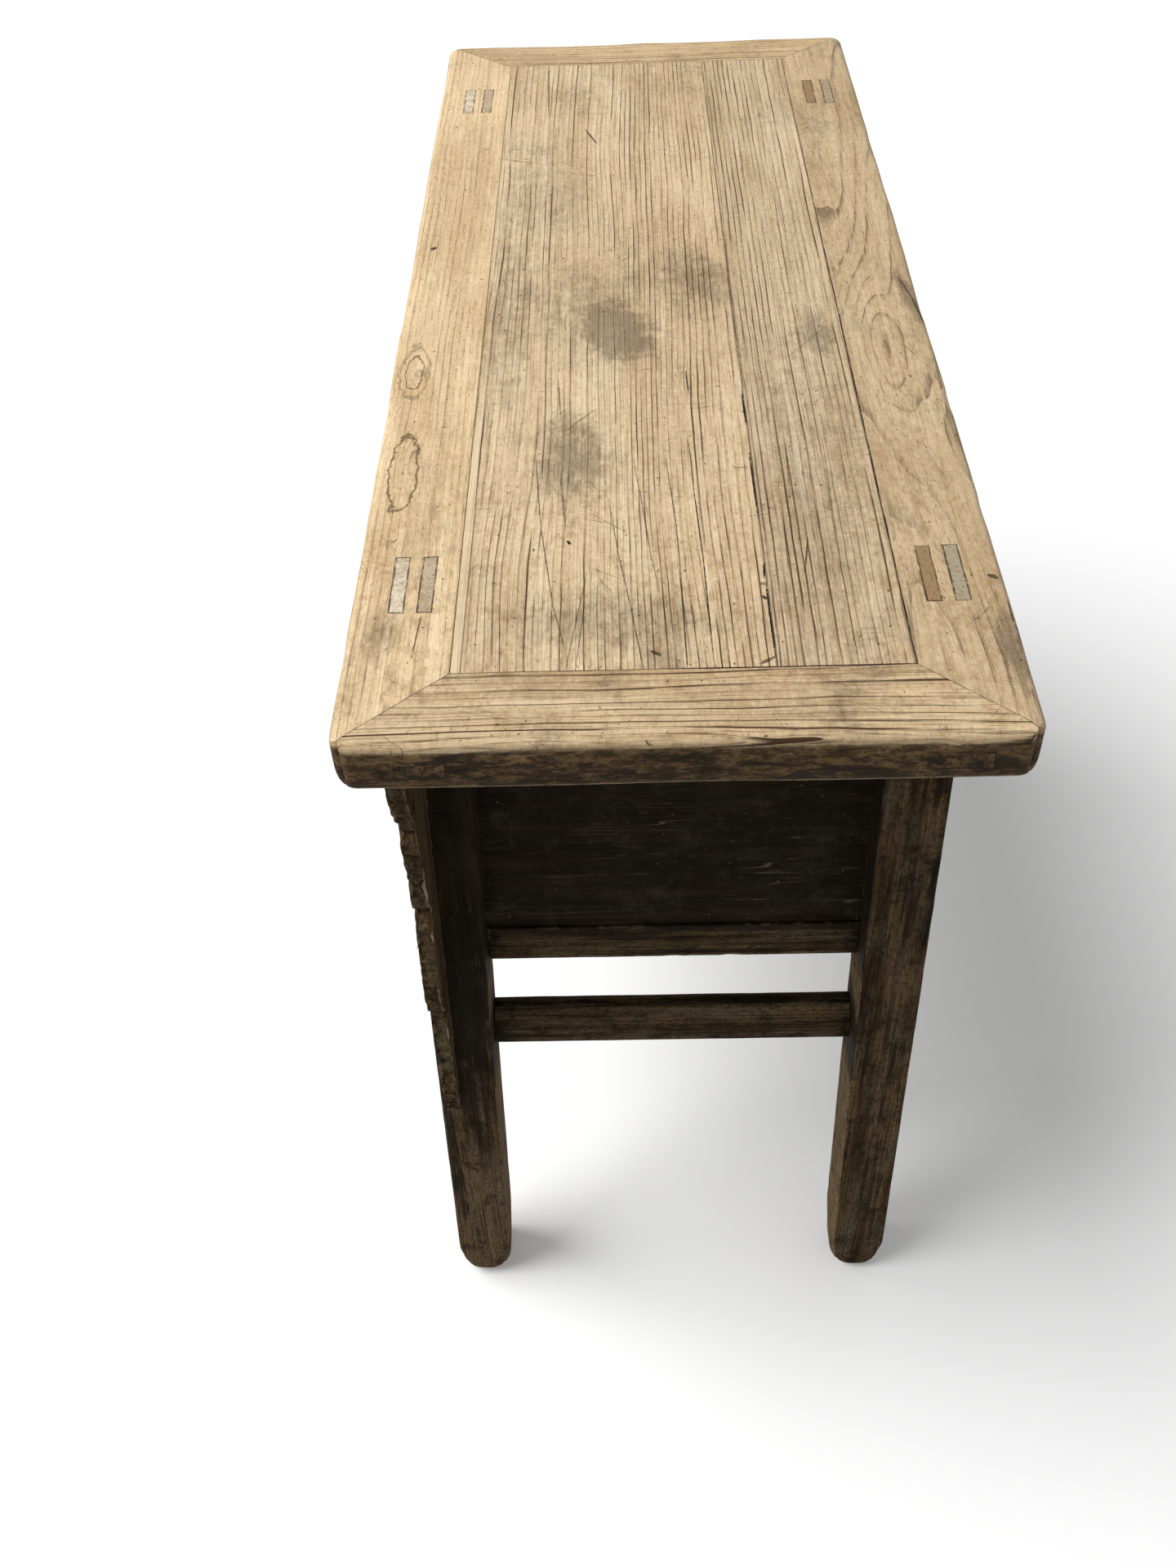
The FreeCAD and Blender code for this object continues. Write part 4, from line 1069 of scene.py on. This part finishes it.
# Top: frame members and boards
LONG_STEPS = (5 * MM, 4 * MM, 4 * MM)
END_STEPS = (4 * MM, 5 * MM, 4 * MM)
TOP_LOOKS = {
    "top_front_member": elm("elm_front_member", "X", 1, LEFT_STAINS, LEFT_STROKES, tint=(1.12, 1.10, 1.06),
                            lines=0.45, ovals=LEFT_OVALS, pith=(-0.34, TOP - 0.05), spacing=5 * MM,
                            bulges=LEFT_FIGURE),
    "top_back_member": elm("elm_back_member", "X", 2, RIGHT_STAINS, RIGHT_STROKES, tint=(0.82, 0.80, 0.77),
                           grime=0.6, lines=0.6, pith=(0.155, TOP - 0.10), spacing=3.4 * MM, waver=30 * MM,
                           bulges=RIGHT_FIGURE),
    "top_front_board": elm("elm_front_board", "X", 3, BOARD_STAINS, BOARD_STROKES + FAR_STROKES, grime=0.7,
                           strip=True, pith=(-0.30, TOP - 0.13), waver=16 * MM, bulges=BOARD_FIGURE),
    "top_back_board": elm("elm_back_board", "X", 4, BACK_BOARD_STAINS, BACK_BOARD_STROKES, BACK_BOARD_PALE,
                          tint=(0.90, 0.90, 0.92), grime=0.6, pith=(0.36, TOP - 0.13), waver=16 * MM),
    "top_end_member_right": elm("elm_right_member", "Y", 5, tint=(0.93, 0.91, 0.88), grime=1.0, lines=1.6,
                                pith=(0.40, TOP - 0.05), spacing=5.6 * MM, waver=24 * MM, ragged=2.4),
    "top_end_member_left": elm("elm_left_member", "Y", 6, tint=(0.90, 0.86, 0.80), grime=0.6,
                               pith=(-0.40, TOP - 0.05), spacing=5.6 * MM, waver=24 * MM, ragged=2.4),
}
for name, look in TOP_LOOKS.items():
    steps = END_STEPS if "end" in name else LONG_STEPS
    dress(name, look, steps, shape=top_wear, paint=top_paint)

# Legs, rails, stretchers and panels, the edges of all but the legs eased
EASED = 0.8 * MM
LEG_STEPS = (4 * MM, 4 * MM, 6 * MM)
CROSS_STEPS = (4 * MM, 6 * MM, 4 * MM)
# Colours of the outer and the inner tenon ends
TENON_TONES = {"front": (linear(236, 222, 196), linear(204, 184, 156)),
               "back": (linear(176, 164, 140), linear(160, 132, 100))}
LEG_COATS = {"front": 0.56, "back": 0.46}
END_COATS = {"end_top_rail": 0.6, "end_lower_rail": 0.44, "end_stretcher": 0.46, "end_panel": 0.72}
for index, end in enumerate(("right", "left")):
    for depth, face in enumerate(("front", "back")):
        name = "leg_" + face + "_" + end
        low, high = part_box(name)
        patches, bulges = (LEG_PATCHES, LEG_FIGURE) if name == "leg_back_right" else ((), ())
        look = aged("aged_" + name, "Z", 10 + 2 * index + depth, LEG_COATS[face], TENON_TONES[face], patches,
                    pith=(low[0] + 0.1, 0.0), bulges=bulges)
        dress(name, look, LEG_STEPS, shape=leg_wear, paint=leg_paint)
    for name, coat in END_COATS.items():
        name = name + "_" + end
        panel = "panel" in name
        look = aged("aged_" + name, "Y", 20 + index, coat, scuffs=0.7 if panel else 0.15,
                    greyer=(-0.10, 0.08) if panel else None)
        dress(name, look, CROSS_STEPS, EASED, paint=end_paint)
LONG_COATS = {
    "front_top_rail": 0.55, "front_middle_rail": 0.5, "front_lower_rail": 0.5, "front_panel": 0.62,
    "back_top_rail": 0.5, "back_middle_rail": 0.5, "back_lower_rail": 0.5,
    "back_upper_panel": 0.55, "back_lower_panel": 0.55,
}
for name, coat in LONG_COATS.items():
    dress(name, aged("aged_" + name, "X", 30 + len(name), coat), LONG_STEPS, EASED)
dress("front_divider", aged("aged_divider", "Z", 45, 0.5), LEG_STEPS, EASED)
CARVED_STEPS = (2 * MM, 3 * MM, 2 * MM)
for end in ("right", "left"):
    look = aged("aged_spandrel_" + end, "Z", 46, 0.38, dusty=0.8)
    dress("spandrel_" + end, look, CARVED_STEPS, EASED, carved(spandrel_vine()))
    look = aged("aged_drawer_" + end, "X", 48 + len(end), 0.55)
    dress("drawer_front_" + end, look, LONG_STEPS, EASED)
look = aged("aged_apron", "X", 50, 0.46)
dress("front_apron", look, CARVED_STEPS, EASED, carved(apron_vine()))

# Inner pieces, and pulls
INNER_STEPS = (14 * MM,) * 3
INNER_EASED = 0.7 * MM
INNER_ALONG = bare("bare_along", "X", 60)
INNER_ACROSS = bare("bare_across", "Y", 61)
PULL = brass("brass_pull", 3.0)
ACROSS = ("top_batten", "drawer_runner", "drawer_guide", "drawer_inner_side", "drawer_outer_side")
ALONG = ("bottom_board", "drawer_back", "drawer_bottom")
for name in frame["nodes"]:
    if name.startswith(ACROSS):
        dress(name, INNER_ACROSS, INNER_STEPS, INNER_EASED, rubbed)
    elif name.startswith(ALONG):
        dress(name, INNER_ALONG, INNER_STEPS, INNER_EASED, rubbed)
    elif name.startswith("pull_plate"):
        dress(name, PULL, (2 * MM, 5 * MM, 2 * MM), 0.5 * MM, beaten)
    elif name.startswith("pull_"):
        finish_node(name, PULL)


# Floor, background and light
def seen_directly(n):
    """1 for rays that show the background: from the camera, or through gloss or glass."""
    path = n.add("ShaderNodeLightPath").outputs
    return n.highest(path["Is Camera Ray"], path["Is Glossy Ray"], path["Is Transmission Ray"])


def floor_material():
    """Pale with a little glow where it is seen, and duller where it lights the table."""
    material, n = new_material("floor")
    pale = n.add("ShaderNodeBsdfDiffuse", {"Color": FLOOR_SEEN}).outputs[0]
    glow = n.add("ShaderNodeEmission", {"Color": WHITE, "Strength": FLOOR_GLOW}).outputs[0]
    shown = n.add("ShaderNodeAddShader", {0: pale, 1: glow}).outputs[0]
    dull = n.add("ShaderNodeBsdfDiffuse", {"Color": FLOOR_UNSEEN}).outputs[0]
    n.show(n.add("ShaderNodeMixShader", {0: seen_directly(n), 1: dull, 2: shown}).outputs[0])
    return material


floor_mesh = bpy.data.meshes.new("floor")
corners = [(x * FLOOR_HALF, y * FLOOR_HALF, 0) for x, y in ((-1, -1), (1, -1), (1, 1), (-1, 1))]
floor_mesh.from_pydata(corners, [], [(0, 1, 2, 3)])
floor_mesh.materials.append(floor_material())
floor = placed("floor", floor_mesh)

world = bpy.data.worlds.new("backdrop")
world.use_nodes = True
world.node_tree.nodes.clear()
sky = Nodes(world.node_tree)
strength = sky.math("MULTIPLY_ADD", seen_directly(sky), 1.0 - AMBIENT, AMBIENT)
background = sky.add("ShaderNodeBackground", {"Color": WHITE, "Strength": strength})
sky.show(background.outputs[0], "ShaderNodeOutputWorld")
bpy.context.scene.world = world

key_data = bpy.data.lights.new("key", "SUN")
key_data.angle = KEY_ANGLE
key_data.energy = KEY_STRENGTH
key = placed("key", key_data)
key.location = 4 * KEY_FROM
key.rotation_euler = (-KEY_FROM).to_track_quat("-Z", "Y").to_euler()

# Camera
forward = Vector((
    -math.cos(CAMERA_YAW) * math.cos(CAMERA_PITCH),
    math.sin(CAMERA_YAW) * math.cos(CAMERA_PITCH),
    -math.sin(CAMERA_PITCH),
))
level_right = Vector((math.sin(CAMERA_YAW), math.cos(CAMERA_YAW), 0.0))
level_up = level_right.cross(forward)
right = math.cos(CAMERA_ROLL) * level_right + math.sin(CAMERA_ROLL) * level_up
up = math.cos(CAMERA_ROLL) * level_up - math.sin(CAMERA_ROLL) * level_right
camera_data = bpy.data.cameras.new("camera")
camera_data.sensor_fit = "HORIZONTAL"
camera_data.sensor_width = CAMERA_SENSOR
camera_data.lens = CAMERA_LENS
camera = placed("camera", camera_data)
camera.matrix_world = Matrix.Translation(CAMERA_PLACE) @ Matrix((right, up, -forward)).transposed().to_4x4()
bpy.context.scene.camera = camera
bpy.context.scene.view_settings.view_transform = "Standard"

bpy.context.view_layer.update()
